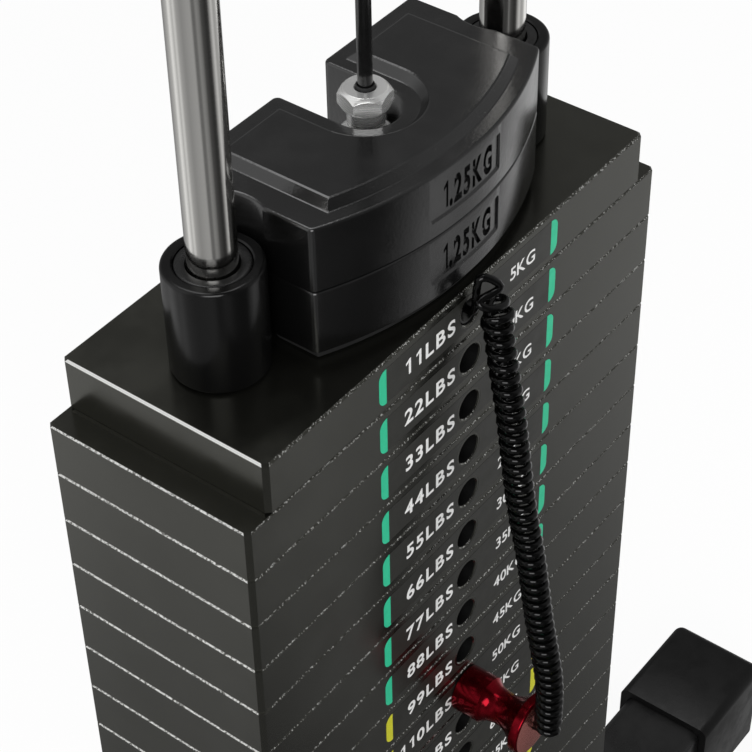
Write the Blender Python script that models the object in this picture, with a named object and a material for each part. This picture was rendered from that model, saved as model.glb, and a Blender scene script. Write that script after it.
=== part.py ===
"""Weight stack of a cable station, with its guide rods, selector stem, pin and add-on weights.

Frame: +X runs along the plates' long side, -Y is the front, where the selector pin goes in, and
+Z is up. The origin is on the floor, under the middle of the foot beam. Sizes are in metres.
"""

import math

import bmesh
import bpy
from mathutils import Matrix, Vector

# Clearances
SEAT_GAP = 0.0003
RUNNING_GAP = 0.0004
STEM_GAP = 0.0008

# Guide rods
ROD_SPACING = 0.182
ROD_RADIUS = 0.0096
ROD_LENGTH = 1.659
ROD_CHAMFER = 0.001

# Selector stem and selector pin
STEM_RADIUS = 0.011
STEM_ABOVE_HEAD = 0.044
STEM_BELOW_HOLE = 0.011
STEM_RING_WALL = 0.0022
STEM_RING_HEIGHT = 0.008
PIN_RADIUS = 0.006
PIN_BEYOND_STEM = 0.014
PIN_IN_KNOB = 0.016

# Plates
PLATE_COUNT = 19
PINNED_PLATE = 9
PLATE_LENGTH = 0.275
PLATE_DEPTH = 0.100
PLATE_THICKNESS = 0.025
HEAD_SETBACK = 0.012
HEAD_THICKNESS = 0.025
EDGE_CHAMFER = 0.0008
CORNER_CHAMFER = 0.002
ROD_HOLE_CLEARANCE = 0.0029
PIN_HOLE_CLEARANCE = 0.0005
PIN_HOLE_SPARE = 0.002

# Foot beam and its end caps
FOOT_LENGTH = 0.748
BEAM_WIDTH = 0.055
BEAM_HEIGHT = 0.060
BEAM_WALL = 0.003
BEAM_CORNER_RADIUS = 0.006
CAP_WALL = 0.005
CAP_LENGTH = 0.073
CAP_CORNER_RADIUS = 0.006
CAP_ROUNDING = 0.9

# Seats of the rods on the beam
FLANGE_THICKNESS = 0.008
FLANGE_BEYOND_SCREW = 0.012
FLANGE_SIDE_MARGIN = 0.0025
BOSS_WALL = 0.0051
BOSS_HEIGHT = 0.030
SEAT_SCREW_BESIDE_BUFFER = 0.011
SEAT_SCREW_RADIUS = 0.004
SEAT_SCREW_LENGTH = 0.010
SEAT_SCREW_FLATS = 0.013
SEAT_SCREW_HEAD = 0.0055

# Rubber buffers under the stack
BUFFER_HEIGHT = 0.081
BUFFER_WALL = 0.0062
BUFFER_WAVE_DEPTH = 0.0045
BUFFER_WAVES = 3

# Collars and bushes on the head plate
BUSH_WALL = 0.0045
COLLAR_WALL = 0.0047
COLLAR_HEIGHT = 0.048
COLLAR_CHAMFER = 0.0015
BUSH_RECESS = 0.0005

# Cable bolt and lock nut
STEM_TAPPED_WALL = 0.0033
BOLT_ENGAGEMENT = 0.024
BOLT_CHAMFER = 0.0006
BOLT_HEAD_FLATS = 0.019
BOLT_HEAD_HEIGHT = 0.009
BOLT_BARE_LENGTH = 0.011
NUT_FLATS = 0.022
NUT_HEIGHT = 0.009
HEX_DOME = 0.0026
HEX_TURN = 12.0
HEX_CROWN_SHARE = 0.88

# Lifting cable and its terminal
CABLE_RADIUS = 0.003
CABLE_IN_BOLT = 0.020
SLEEVE_WALL = 0.0005
SLEEVE_IN_BOLT = 0.0045
SLEEVE_ABOVE_BOLT = 0.0012
TERMINAL_WALL = 0.0032
TERMINAL_LENGTH = 0.034
CABLE_IN_TERMINAL = 0.024
EYE_RADIUS = 0.014
EYE_HOLE_RADIUS = 0.0075
EYE_THICKNESS = 0.008
EYE_CHAMFER = 0.001

# Yoke that ties the rods' tops, and its guide bush and screws
YOKE_BEYOND_ROD = 0.031
YOKE_WIDTH = 0.056
YOKE_THICKNESS = 0.012
YOKE_FIXING_SPACING = 0.100
YOKE_FIXING_RADIUS = 0.0055
GUIDE_WALL = 0.0073
GUIDE_RIM = 0.0053
GUIDE_FLANGE_THICKNESS = 0.004
ROD_TAPPED_WALL = 0.0033
ROD_SCREW_LENGTH = 0.042
ROD_SCREW_FLATS = 0.018
ROD_SCREW_HEAD = 0.0075
ROD_WASHER_RADIUS = 0.0125
ROD_WASHER_THICKNESS = 0.0025

# Add-on weights
ADDON_SETBACK = 0.019
ADDON_BACK = 0.0323
ADDON_FRONT = 0.0485
ADDON_FRONT_RADIUS = 0.155
ADDON_THICKNESS = 0.0292
ADDON_COLLAR_GAP = 0.0015
ADDON_STEM_GAP = 0.0032
ADDON_CORNER_RADIUS = 0.005
ADDON_FILLET_REACH = 1.3
ADDON_EDGE = 0.0012
ADDON_OUTER_STEPS = 6
ADDON_SCALLOP_STEPS = 4
PLATEAU_INSET = 0.0070
PLATEAU_END_INSET = 0.0145
PLATEAU_DRAFT = 0.0016
PLATEAU_HEIGHT = 0.0036
PLATEAU_ROOT = 0.002
POCKET_WALL = 0.0062
POCKET_DEPTH = 0.0245
PANEL_HALF_WIDTH = 0.021
PANEL_TOP = 0.0050
PANEL_HEIGHT = 0.0160
PANEL_DEPTH = 0.0008
PAD_INSET = 0.0035
PAD_THICKNESS = 0.0049

# Knob of the selector pin
KNOB_WALL = 0.005
KNOB_BASE_LENGTH = 0.015
KNOB_BEVEL = 0.0012
KNOB_NECK_LENGTH = 0.002
KNOB_WAIST_RADIUS = 0.0080
KNOB_WAIST_SHARE = 0.35
KNOB_FLANGE_RADIUS = 0.0150
KNOB_FLANGE_THICKNESS = 0.0045
KNOB_LENGTH = 0.039
KNOB_CORD_HOLE_DEPTH = 0.007

# Coiled lanyard and its ferrule
CORD_RADIUS = 0.0017
COIL_RADIUS = 0.0048
COIL_CURLS = 45
COIL_POINTS_PER_CURL = 8
COIL_MOUTH_RADIUS = 0.0062
COIL_MOUTH_CURLS = 1.5
COIL_TOP_PITCH = 0.0062
COIL_END_PITCH = 0.0045
COIL_TOP_RISE = 0.004
LEAD_IN_POINTS = 33
LEAD_OUT_POINTS = 16
FERRULE_WALL = 0.0043
FERRULE_LIP = 0.0012
FERRULE_RECESS = 0.001
FERRULE_LENGTH = 0.014
FERRULE_FLARE_DEPTH = 0.0055
CORD_HOLE_GAP = 0.0003
CORD_IN_FERRULE = 0.009
CORD_IN_KNOB = 0.005

# Sides of round pieces
ROUND_SIDES = 20
MEDIUM_SIDES = 16
STEM_SIDES = 12
HOLE_SIDES = 10
HIDDEN_SIDES = 8

# Radii worked out from the sizes above
ROD_X = ROD_SPACING / 2
BOSS_RADIUS = ROD_RADIUS + SEAT_GAP + BOSS_WALL
BUFFER_BORE_RADIUS = BOSS_RADIUS + SEAT_GAP
BUFFER_WAIST_RADIUS = BUFFER_BORE_RADIUS + BUFFER_WALL
BUFFER_RADIUS = BUFFER_WAIST_RADIUS + BUFFER_WAVE_DEPTH
BUSH_BORE_RADIUS = ROD_RADIUS + RUNNING_GAP
BUSH_RADIUS = BUSH_BORE_RADIUS + BUSH_WALL
COLLAR_RADIUS = BUSH_RADIUS + SEAT_GAP + COLLAR_WALL
STEM_BORE_RADIUS = STEM_RADIUS + STEM_GAP
BOLT_RADIUS = STEM_RADIUS - STEM_TAPPED_WALL - SEAT_GAP
CABLE_BORE_RADIUS = CABLE_RADIUS + RUNNING_GAP
SLEEVE_RADIUS = CABLE_RADIUS + SEAT_GAP + SLEEVE_WALL
GUIDE_RADIUS = CABLE_BORE_RADIUS + GUIDE_WALL
ROD_SCREW_RADIUS = ROD_RADIUS - ROD_TAPPED_WALL - SEAT_GAP
FERRULE_RADIUS = CORD_RADIUS + CORD_HOLE_GAP + FERRULE_WALL
SLOT_HALF_WIDTH = STEM_RADIUS + ADDON_STEM_GAP

# Lengths and levels worked out from the sizes above
FRONT = -PLATE_DEPTH / 2
SEAT_SCREW_OFFSET = BUFFER_RADIUS + SEAT_SCREW_BESIDE_BUFFER
CAP_HEIGHT = BEAM_HEIGHT + SEAT_GAP + CAP_WALL
CAP_WIDTH = BEAM_WIDTH + 2 * (CAP_WALL + SEAT_GAP)
SEAT_BOTTOM = BEAM_HEIGHT + SEAT_GAP
FLANGE_TOP = SEAT_BOTTOM + FLANGE_THICKNESS
BOSS_TOP = FLANGE_TOP + BOSS_HEIGHT
BUFFER_BOTTOM = FLANGE_TOP + SEAT_GAP
STACK_BASE = BUFFER_BOTTOM + BUFFER_HEIGHT + SEAT_GAP
PLATE_PITCH = PLATE_THICKNESS + SEAT_GAP
HEAD_BOTTOM = STACK_BASE + PLATE_COUNT * PLATE_PITCH
HEAD_TOP = HEAD_BOTTOM + HEAD_THICKNESS
HEAD_MIDDLE = HEAD_BOTTOM + HEAD_THICKNESS / 2
STEM_TOP = HEAD_TOP + STEM_ABOVE_HEAD
NUT_BOTTOM = STEM_TOP + SEAT_GAP
BOLT_HEAD_BOTTOM = NUT_BOTTOM + NUT_HEIGHT + BOLT_BARE_LENGTH
BOLT_TOP = BOLT_HEAD_BOTTOM + BOLT_HEAD_HEIGHT
ROD_BOTTOM = BEAM_HEIGHT + SEAT_GAP
ROD_TOP = ROD_BOTTOM + ROD_LENGTH
YOKE_BOTTOM = ROD_TOP + SEAT_GAP
YOKE_TOP = YOKE_BOTTOM + YOKE_THICKNESS
WASHER_BOTTOM = YOKE_TOP + SEAT_GAP
WASHER_TOP = WASHER_BOTTOM + ROD_WASHER_THICKNESS
ROD_SCREW_END = WASHER_TOP - ROD_SCREW_LENGTH
GUIDE_TOP = YOKE_TOP + SEAT_GAP + GUIDE_FLANGE_THICKNESS
ADDON_PITCH = ADDON_THICKNESS + SEAT_GAP
PAD_BOTTOM = HEAD_TOP + SEAT_GAP
ADDON_BASE = PAD_BOTTOM + PAD_THICKNESS + SEAT_GAP
SIDES = {"left": -1, "right": 1}


def clear_scene():
    for scene_object in list(bpy.data.objects):
        bpy.data.objects.remove(scene_object, do_unlink=True)


def make_material(name, color, roughness, metallic=0.0):
    material = bpy.data.materials.new(name)
    material.use_nodes = True
    shader = material.node_tree.nodes["Principled BSDF"]
    shader.inputs["Base Color"].default_value = (*color, 1.0)
    shader.inputs["Roughness"].default_value = roughness
    shader.inputs["Metallic"].default_value = metallic
    return material


def make_materials():
    return {
        "grey_paint": make_material("grey_paint", (0.075, 0.075, 0.070), 0.45),
        "black_paint": make_material("black_paint", (0.012, 0.012, 0.012), 0.35),
        "black_casting": make_material("black_casting", (0.030, 0.030, 0.028), 0.42),
        "black_rubber": make_material("black_rubber", (0.015, 0.015, 0.015), 0.80),
        "black_plastic": make_material("black_plastic", (0.020, 0.020, 0.020), 0.30),
        "chrome": make_material("chrome", (0.80, 0.80, 0.80), 0.08, 1.0),
        "steel": make_material("steel", (0.55, 0.55, 0.56), 0.30, 1.0),
        "red_anodised": make_material("red_anodised", (0.30, 0.004, 0.010), 0.22, 1.0),
        "black_cord": make_material("black_cord", (0.006, 0.006, 0.006), 0.22),
    }


def add_object(name, mesh_data, material, location=(0.0, 0.0, 0.0)):
    item = bpy.data.objects.new(name, mesh_data)
    bpy.context.scene.collection.objects.link(item)
    item.location = location
    if material is not None:
        mesh_data.materials.clear()
        mesh_data.materials.append(material)
    return item


def mesh_from(shape, name, smooth=True):
    """Turn a bmesh into mesh data, with its faces pointing out and sharp edges kept."""
    bmesh.ops.recalc_face_normals(shape, faces=shape.faces)
    data = bpy.data.meshes.new(name)
    shape.to_mesh(data)
    shape.free()
    if smooth:
        data.shade_smooth()
        data.set_sharp_from_angle(angle=math.radians(35))
    return data


def turned(profile, sides=ROUND_SIDES, closed=True):
    """Revolve (radius, height) points about Z. An open profile starts and ends on the axis."""
    shape = bmesh.new()
    rings = []
    for radius, height in profile:
        if radius < 1e-7:
            rings.append([shape.verts.new((0.0, 0.0, height))])
            continue
        angles = [2 * math.pi * step / sides for step in range(sides)]
        flat = [(radius * math.cos(a), radius * math.sin(a)) for a in angles]
        rings.append([shape.verts.new((x, y, height)) for x, y in flat])
    pairs = list(zip(rings, rings[1:]))
    if closed:
        pairs.append((rings[-1], rings[0]))
    for lower, upper in pairs:
        bridge(shape, lower, upper)
    return shape


def bridge(shape, lower, upper):
    """Faces between two rings of points, either of which may be a single point."""
    count = max(len(lower), len(upper))
    for step in range(count):
        after = (step + 1) % count
        if len(lower) == 1:
            shape.faces.new((lower[0], upper[after], upper[step]))
        elif len(upper) == 1:
            shape.faces.new((lower[step], lower[after], upper[0]))
        else:
            shape.faces.new((lower[step], lower[after], upper[after], upper[step]))


def lofted(levels):
    """A solid through outlines at rising or falling heights: [(points, height), ...]."""
    shape = bmesh.new()
    rings = [[shape.verts.new((x, y, height)) for x, y in points] for points, height in levels]
    for lower, upper in zip(rings, rings[1:]):
        bridge(shape, lower, upper)
    shape.faces.new(rings[0])
    shape.faces.new(rings[-1])
    return shape


def rounded_rectangle(width, depth, radius, steps=3):
    """Points of a rectangle about the origin with round corners."""
    points = []
    for quarter, (sign_x, sign_y) in enumerate(((1, 1), (-1, 1), (-1, -1), (1, -1))):
        centre_x = sign_x * (width / 2 - radius)
        centre_y = sign_y * (depth / 2 - radius)
        for step in range(steps + 1):
            angle = (quarter + step / steps) * math.pi / 2
            points.append((centre_x + radius * math.cos(angle), centre_y + radius * math.sin(angle)))
    return points


def rod_shape(radius, low, high, sides=ROUND_SIDES, chamfer=0.0):
    """A solid bar along Z, with its end edges chamfered if asked."""
    profile = [(0.0, low), (radius - chamfer, low)]
    if chamfer > 0.0:
        profile.append((radius, low + chamfer))
        profile.append((radius, high - chamfer))
    profile += [(radius - chamfer, high), (0.0, high)]
    return turned(profile, sides, closed=False)


def bore_shape(radius, low, high, sides=HOLE_SIDES):
    """A cutter along Z whose flats, not its corners, lie at the radius, so a round piece fits it."""
    return rod_shape(radius / math.cos(math.pi / sides), low, high, sides)


def tube_profile(inner, outer, low, high, chamfer=0.0):
    """Section of a tube along Z whose outer end edges are chamfered."""
    profile = [(inner, low), (outer - chamfer, low)]
    if chamfer > 0.0:
        profile += [(outer, low + chamfer), (outer, high - chamfer)]
    profile += [(outer - chamfer, high), (inner, high)]
    return profile


def moved(shape, matrix):
    bmesh.ops.transform(shape, matrix=matrix, verts=shape.verts)
    return shape


def along_y(shape):
    """Turn a shape made along Z so that its +Z end points to the front, -Y."""
    return moved(shape, Matrix.Rotation(math.radians(90), 4, "X"))


def combine(item, tool_shape, operation):
    """Apply one Boolean to the item, with a tool given as a bmesh."""
    tool = add_object("tool", mesh_from(tool_shape, "tool", smooth=False), None)
    modifier = item.modifiers.new("cut", "BOOLEAN")
    modifier.operation = operation
    modifier.solver = "EXACT"
    modifier.object = tool
    view = bpy.context.evaluated_depsgraph_get()
    result = bpy.data.meshes.new_from_object(item.evaluated_get(view))
    item.modifiers.clear()
    name = item.data.name
    item.data = result
    result.name = name
    bpy.data.objects.remove(tool, do_unlink=True)
    return item


def finish_faces(item, angle=35):
    item.data.shade_smooth()
    item.data.set_sharp_from_angle(angle=math.radians(angle))


def union_of(name, shapes, material):
    """One solid from shapes that overlap."""
    item = add_object(name, mesh_from(shapes[0], name), material)
    for shape in shapes[1:]:
        combine(item, shape, "UNION")
    finish_faces(item)
    return item


def joined_shapes(shapes):
    """Several separate bodies as one bmesh."""
    whole = bmesh.new()
    for shape in shapes:
        data = mesh_from(shape, "piece")
        whole.from_mesh(data)
        bpy.data.meshes.remove(data)
    return whole


def circle(radius, sides=ROUND_SIDES):
    angles = [2 * math.pi * step / sides for step in range(sides)]
    return [(radius * math.cos(a), radius * math.sin(a)) for a in angles]


def hexagon_bar(flats, low, high):
    """A plain hexagon bar along Z."""
    corner = flats / math.sqrt(3)
    angles = [math.radians(60 * side + HEX_TURN) for side in range(6)]
    points = [(corner * math.cos(a), corner * math.sin(a)) for a in angles]
    return lofted([(points, low), (points, high)])


def turned_hexagon(flats, low, high, bore=0.0, dome=HEX_DOME):
    """A hexagon bar whose corners are turned down at its ends, as on a nut or a bolt head."""
    corner = flats / math.sqrt(3)
    bar = add_object("hexagon", mesh_from(hexagon_bar(flats, low, high), "hexagon"), None)
    crown = flats / 2 * HEX_CROWN_SHARE
    wide = corner * 1.01
    rings = [(crown, low), (wide, low + dome), (wide, high - dome), (crown, high)]
    combine(bar, lofted([(circle(radius), level) for radius, level in rings]), "INTERSECT")
    if bore > 0.0:
        combine(bar, bore_shape(bore, low - dome, high + dome, MEDIUM_SIDES), "DIFFERENCE")
    shape = bmesh.new()
    shape.from_mesh(bar.data)
    bpy.data.objects.remove(bar, do_unlink=True)
    return shape


def plate_level(number):
    """Height of the underside of a plate. Plate 1 lies right under the head plate."""
    return STACK_BASE + (PLATE_COUNT - number) * PLATE_PITCH


def slab(length, thickness):
    """A plate blank from z = 0 with its corners and edges chamfered."""
    inner_x = length / 2
    inner_y = PLATE_DEPTH / 2

    def outline(inset):
        x = inner_x - inset
        y = inner_y - inset
        c = CORNER_CHAMFER
        right = [(x - c, -y), (x, -y + c), (x, y - c), (x - c, y)]
        return right + [(-x, y) for x, y in reversed(right)]

    return lofted(
        [
            (outline(EDGE_CHAMFER), 0.0),
            (outline(0.0), EDGE_CHAMFER),
            (outline(0.0), thickness - EDGE_CHAMFER),
            (outline(EDGE_CHAMFER), thickness),
        ]
    )


def drill_plate(item, thickness, hole_depth, hole_radius, stem_hole):
    """Bore the rod holes, the stem hole and the hole for the pin in a plate blank."""
    pin_hole = along_y(bore_shape(hole_radius, 0.0, hole_depth + PLATE_DEPTH, HIDDEN_SIDES))
    start = FRONT + hole_depth
    combine(item, moved(pin_hole, Matrix.Translation((0.0, start, thickness / 2))), "DIFFERENCE")
    upright = [bore_shape(stem_hole, -thickness, 2 * thickness)]
    for x in (-ROD_X, ROD_X):
        hole = bore_shape(ROD_RADIUS + ROD_HOLE_CLEARANCE, -thickness, 2 * thickness, HIDDEN_SIDES)
        upright.append(moved(hole, Matrix.Translation((x, 0.0, 0.0))))
    combine(item, joined_shapes(upright), "DIFFERENCE")
    finish_faces(item, 30)


def make_plates(materials):
    """The drilled plates, which share one mesh."""
    blank = mesh_from(slab(PLATE_LENGTH, PLATE_THICKNESS), "weight_plate")
    first = add_object("weight_plate_01", blank, None)
    depth = PLATE_DEPTH / 2 + STEM_RADIUS + PIN_BEYOND_STEM + PIN_HOLE_SPARE
    drill_plate(first, PLATE_THICKNESS, depth, PIN_RADIUS + PIN_HOLE_CLEARANCE, STEM_BORE_RADIUS)
    first.data.materials.clear()
    first.data.materials.append(materials["grey_paint"])
    first.location.z = plate_level(1)
    for number in range(2, PLATE_COUNT + 1):
        add_object(f"weight_plate_{number:02d}", first.data, None, (0.0, 0.0, plate_level(number)))


def make_head_plate(materials):
    """The shorter plate on top, which the stem carries and which never leaves it."""
    length = PLATE_LENGTH - 2 * HEAD_SETBACK
    head = add_object("head_plate", mesh_from(slab(length, HEAD_THICKNESS), "head_plate"), None)
    depth = FERRULE_LENGTH + SEAT_GAP
    drill_plate(head, HEAD_THICKNESS, depth, FERRULE_RADIUS + SEAT_GAP, STEM_RADIUS + SEAT_GAP)
    head.data.materials.clear()
    head.data.materials.append(materials["grey_paint"])
    head.location.z = HEAD_BOTTOM


def make_collars(materials):
    """Tubes on the head plate that hold the bushes running on the rods."""
    bottom = HEAD_TOP + SEAT_GAP
    top = bottom + COLLAR_HEIGHT
    wall = tube_profile(BUSH_RADIUS + SEAT_GAP, COLLAR_RADIUS, bottom, top, COLLAR_CHAMFER)
    bush_top = top - BUSH_RECESS
    bush = [
        (BUSH_BORE_RADIUS, bottom),
        (BUSH_RADIUS, bottom),
        (BUSH_RADIUS, bush_top - COLLAR_CHAMFER / 2),
        (BUSH_RADIUS - COLLAR_CHAMFER / 2, bush_top),
        (BUSH_BORE_RADIUS + COLLAR_CHAMFER, bush_top),
        (BUSH_BORE_RADIUS, bush_top - COLLAR_CHAMFER),
    ]
    for side, sign in SIDES.items():
        place = (sign * ROD_X, 0.0, 0.0)
        collar_data = mesh_from(turned(wall), "collar")
        add_object(f"collar_{side}", collar_data, materials["black_paint"], place)
        bush_data = mesh_from(turned(bush), "rod_bush")
        add_object(f"rod_bush_{side}", bush_data, materials["black_plastic"], place)


def make_guide_rods(materials):
    """Polished rods, tapped at the top for the screws that hold the yoke."""
    hole = ROD_SCREW_RADIUS + SEAT_GAP
    hole_bottom = ROD_SCREW_END - SEAT_GAP
    profile = [
        (0.0, ROD_BOTTOM),
        (ROD_RADIUS - ROD_CHAMFER, ROD_BOTTOM),
        (ROD_RADIUS, ROD_BOTTOM + ROD_CHAMFER),
        (ROD_RADIUS, ROD_TOP - ROD_CHAMFER),
        (ROD_RADIUS - ROD_CHAMFER, ROD_TOP),
        (hole, ROD_TOP),
        (hole, hole_bottom),
        (0.0, hole_bottom),
    ]
    for side, sign in SIDES.items():
        data = mesh_from(turned(profile, closed=False), "guide_rod")
        add_object(f"guide_rod_{side}", data, materials["chrome"], (sign * ROD_X, 0.0, 0.0))


def make_rod_seats(materials):
    """Flanged sockets on the beam that the rods stand in."""
    length = 2 * (SEAT_SCREW_OFFSET + FLANGE_BEYOND_SCREW)
    width = BEAM_WIDTH - 2 * FLANGE_SIDE_MARGIN
    outline = rounded_rectangle(length, width, width / 5)
    for side, sign in SIDES.items():
        flange = lofted([(outline, SEAT_BOTTOM), (outline, FLANGE_TOP)])
        boss = rod_shape(BOSS_RADIUS, SEAT_BOTTOM + FLANGE_THICKNESS / 2, BOSS_TOP, MEDIUM_SIDES)
        seat = union_of(f"rod_seat_{side}", [flange, boss], materials["black_paint"])
        bore = bore_shape(ROD_RADIUS + SEAT_GAP, 0.0, BOSS_TOP + BOSS_HEIGHT, MEDIUM_SIDES)
        combine(seat, bore, "DIFFERENCE")
        for offset in (-SEAT_SCREW_OFFSET, SEAT_SCREW_OFFSET):
            hole = bore_shape(SEAT_SCREW_RADIUS + SEAT_GAP, 0.0, BOSS_TOP)
            combine(seat, moved(hole, Matrix.Translation((offset, 0.0, 0.0))), "DIFFERENCE")
        finish_faces(seat)
        seat.location.x = sign * ROD_X


def make_seat_screws(materials):
    """Hexagon screws that hold the rod seats, with their shanks in the flanges' holes."""
    head_bottom = FLANGE_TOP + SEAT_GAP
    low = head_bottom - SEAT_SCREW_LENGTH
    for side, sign in SIDES.items():
        for end, offset in (("outer", sign * SEAT_SCREW_OFFSET), ("inner", -sign * SEAT_SCREW_OFFSET)):
            head = hexagon_bar(SEAT_SCREW_FLATS, head_bottom, head_bottom + SEAT_SCREW_HEAD)
            shank = rod_shape(SEAT_SCREW_RADIUS, low, head_bottom + SEAT_SCREW_HEAD / 2, HOLE_SIDES)
            screw = union_of(f"seat_screw_{side}_{end}", [head, shank], materials["steel"])
            screw.location.x = sign * ROD_X + offset


def make_buffers(materials):
    """Rubber springs with waisted sides, over the seats' bosses, that the stack lands on."""
    bottom = BUFFER_BOTTOM
    top = bottom + BUFFER_HEIGHT
    step_level = BOSS_TOP + SEAT_GAP
    bore = ROD_RADIUS + STEM_GAP
    steps = 4 * BUFFER_WAVES
    amplitude = BUFFER_WAVE_DEPTH / 2
    middle = BUFFER_RADIUS - amplitude
    profile = [(bore, top), (bore, step_level)]
    profile += [(BUFFER_BORE_RADIUS, step_level), (BUFFER_BORE_RADIUS, bottom)]
    for step in range(steps + 1):
        share = step / steps
        radius = middle - amplitude * math.cos(2 * math.pi * BUFFER_WAVES * share)
        profile.append((radius, bottom + share * BUFFER_HEIGHT))
    for side, sign in SIDES.items():
        data = mesh_from(turned(profile, MEDIUM_SIDES), "stack_buffer")
        add_object(f"stack_buffer_{side}", data, materials["black_rubber"], (sign * ROD_X, 0.0, 0.0))


def make_foot_beam(materials):
    """The square tube under the stack, along X, drilled for the seat screws."""
    length = FOOT_LENGTH - 2 * (CAP_WALL + SEAT_GAP)
    turn = Matrix.Rotation(math.radians(90), 4, "Y")
    place = Matrix.Translation((-length / 2, 0.0, BEAM_HEIGHT / 2)) @ turn
    outer = rounded_rectangle(BEAM_HEIGHT, BEAM_WIDTH, BEAM_CORNER_RADIUS)
    inner_radius = max(BEAM_CORNER_RADIUS - BEAM_WALL, BEAM_WALL / 3)
    inner = rounded_rectangle(BEAM_HEIGHT - 2 * BEAM_WALL, BEAM_WIDTH - 2 * BEAM_WALL, inner_radius)
    beam = add_object(
        "foot_beam",
        mesh_from(moved(lofted([(outer, 0.0), (outer, length)]), place), "foot_beam"),
        materials["black_paint"],
    )
    bore = lofted([(inner, -BEAM_WALL), (inner, length + BEAM_WALL)])
    combine(beam, moved(bore, place), "DIFFERENCE")
    for sign in SIDES.values():
        for offset in (-SEAT_SCREW_OFFSET, SEAT_SCREW_OFFSET):
            hole = bore_shape(SEAT_SCREW_RADIUS + SEAT_GAP, BEAM_HEIGHT - 2 * BEAM_WALL, FLANGE_TOP)
            combine(beam, moved(hole, Matrix.Translation((sign * ROD_X + offset, 0.0, 0.0))), "DIFFERENCE")
    finish_faces(beam)


def arch(width, height, radius, steps=3):
    """Section of a cap as (height, y) points: flat on the floor, with its two top corners round."""
    points = [(0.0, width / 2), (0.0, -width / 2)]
    for quarter, side in ((3, -1), (0, 1)):
        for step in range(steps + 1):
            angle = (quarter + step / steps) * math.pi / 2
            rise = height - radius + radius * math.cos(angle)
            points.append((rise, side * (width / 2 - radius) + radius * math.sin(angle)))
    return points


def make_foot_caps(materials):
    """Moulded caps over the beam's ends: over its top, its sides and its end, open below."""
    pocket = arch(BEAM_WIDTH + 2 * SEAT_GAP, BEAM_HEIGHT + SEAT_GAP, BEAM_CORNER_RADIUS)
    pocket_tool = [(height - (CAP_WALL if height == 0.0 else 0.0), y) for height, y in pocket]
    steps = 3
    for side, sign in SIDES.items():
        levels = [(arch(CAP_WIDTH, CAP_HEIGHT, CAP_CORNER_RADIUS), 0.0)]
        for step in range(steps + 1):
            angle = math.pi / 2 * step / steps
            inset = CAP_CORNER_RADIUS * (1 - math.cos(angle)) * CAP_ROUNDING
            reach = CAP_LENGTH - CAP_CORNER_RADIUS * (1 - math.sin(angle))
            section = arch(CAP_WIDTH - 2 * inset, CAP_HEIGHT - inset, CAP_CORNER_RADIUS - inset)
            levels.append((section, reach))
        shell = mesh_from(lofted(levels), "foot_cap")
        cap = add_object(f"foot_cap_{side}", shell, materials["black_plastic"])
        hollow = [(pocket_tool, -CAP_WALL), (pocket_tool, CAP_LENGTH - CAP_WALL)]
        combine(cap, lofted(hollow), "DIFFERENCE")
        upright = Matrix(((0, 0, sign, 0), (0, sign, 0, 0), (1, 0, 0, 0), (0, 0, 0, 1)))
        place = Matrix.Translation((sign * (FOOT_LENGTH / 2 - CAP_LENGTH), 0.0, 0.0))
        cap.data.transform(place @ upright)
        if upright.determinant() < 0:
            cap.data.flip_normals()
        finish_faces(cap)


def make_yoke(materials):
    """The flat bar that ties the rods' tops and carries the cable's guide."""
    outline = rounded_rectangle(ROD_SPACING + 2 * YOKE_BEYOND_ROD, YOKE_WIDTH, YOKE_WIDTH / 2 - SEAT_GAP, 5)
    yoke = add_object(
        "top_yoke",
        mesh_from(lofted([(outline, YOKE_BOTTOM), (outline, YOKE_TOP)]), "top_yoke"),
        materials["black_paint"],
    )
    holes = [(0.0, GUIDE_RADIUS + SEAT_GAP)]
    for sign in SIDES.values():
        holes.append((sign * ROD_X, ROD_SCREW_RADIUS + SEAT_GAP))
        holes.append((sign * YOKE_FIXING_SPACING / 2, YOKE_FIXING_RADIUS))
    for x, radius in holes:
        hole = bore_shape(radius, YOKE_BOTTOM - YOKE_THICKNESS, YOKE_TOP + YOKE_THICKNESS, STEM_SIDES)
        combine(yoke, moved(hole, Matrix.Translation((x, 0.0, 0.0))), "DIFFERENCE")
    finish_faces(yoke)


def make_rod_screws(materials):
    """Flanged hexagon screws that pull the yoke down on the rods."""
    middle = (WASHER_BOTTOM + WASHER_TOP) / 2
    for side, sign in SIDES.items():
        flange = rod_shape(ROD_WASHER_RADIUS, WASHER_BOTTOM, WASHER_TOP, MEDIUM_SIDES)
        head = hexagon_bar(ROD_SCREW_FLATS, middle, WASHER_TOP + ROD_SCREW_HEAD)
        shank = rod_shape(ROD_SCREW_RADIUS, ROD_SCREW_END, middle, STEM_SIDES)
        screw = union_of(f"rod_screw_{side}", [flange, head, shank], materials["steel"])
        screw.location.x = sign * ROD_X


def make_cable_guide(materials):
    """Flanged bush in the yoke that the cable runs through."""
    bore = CABLE_BORE_RADIUS
    rim = GUIDE_RADIUS + GUIDE_RIM
    flange_bottom = YOKE_TOP + SEAT_GAP
    lead = GUIDE_FLANGE_THICKNESS / 4
    profile = [
        (bore + 2 * lead, YOKE_BOTTOM),
        (GUIDE_RADIUS, YOKE_BOTTOM),
        (GUIDE_RADIUS, flange_bottom),
        (rim, flange_bottom),
        (rim, GUIDE_TOP - lead),
        (rim - lead, GUIDE_TOP),
        (bore + lead, GUIDE_TOP),
        (bore, GUIDE_TOP - lead),
        (bore, YOKE_BOTTOM + 2 * lead),
    ]
    guide = mesh_from(turned(profile, STEM_SIDES), "cable_guide")
    add_object("cable_guide", guide, materials["black_plastic"])


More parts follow.
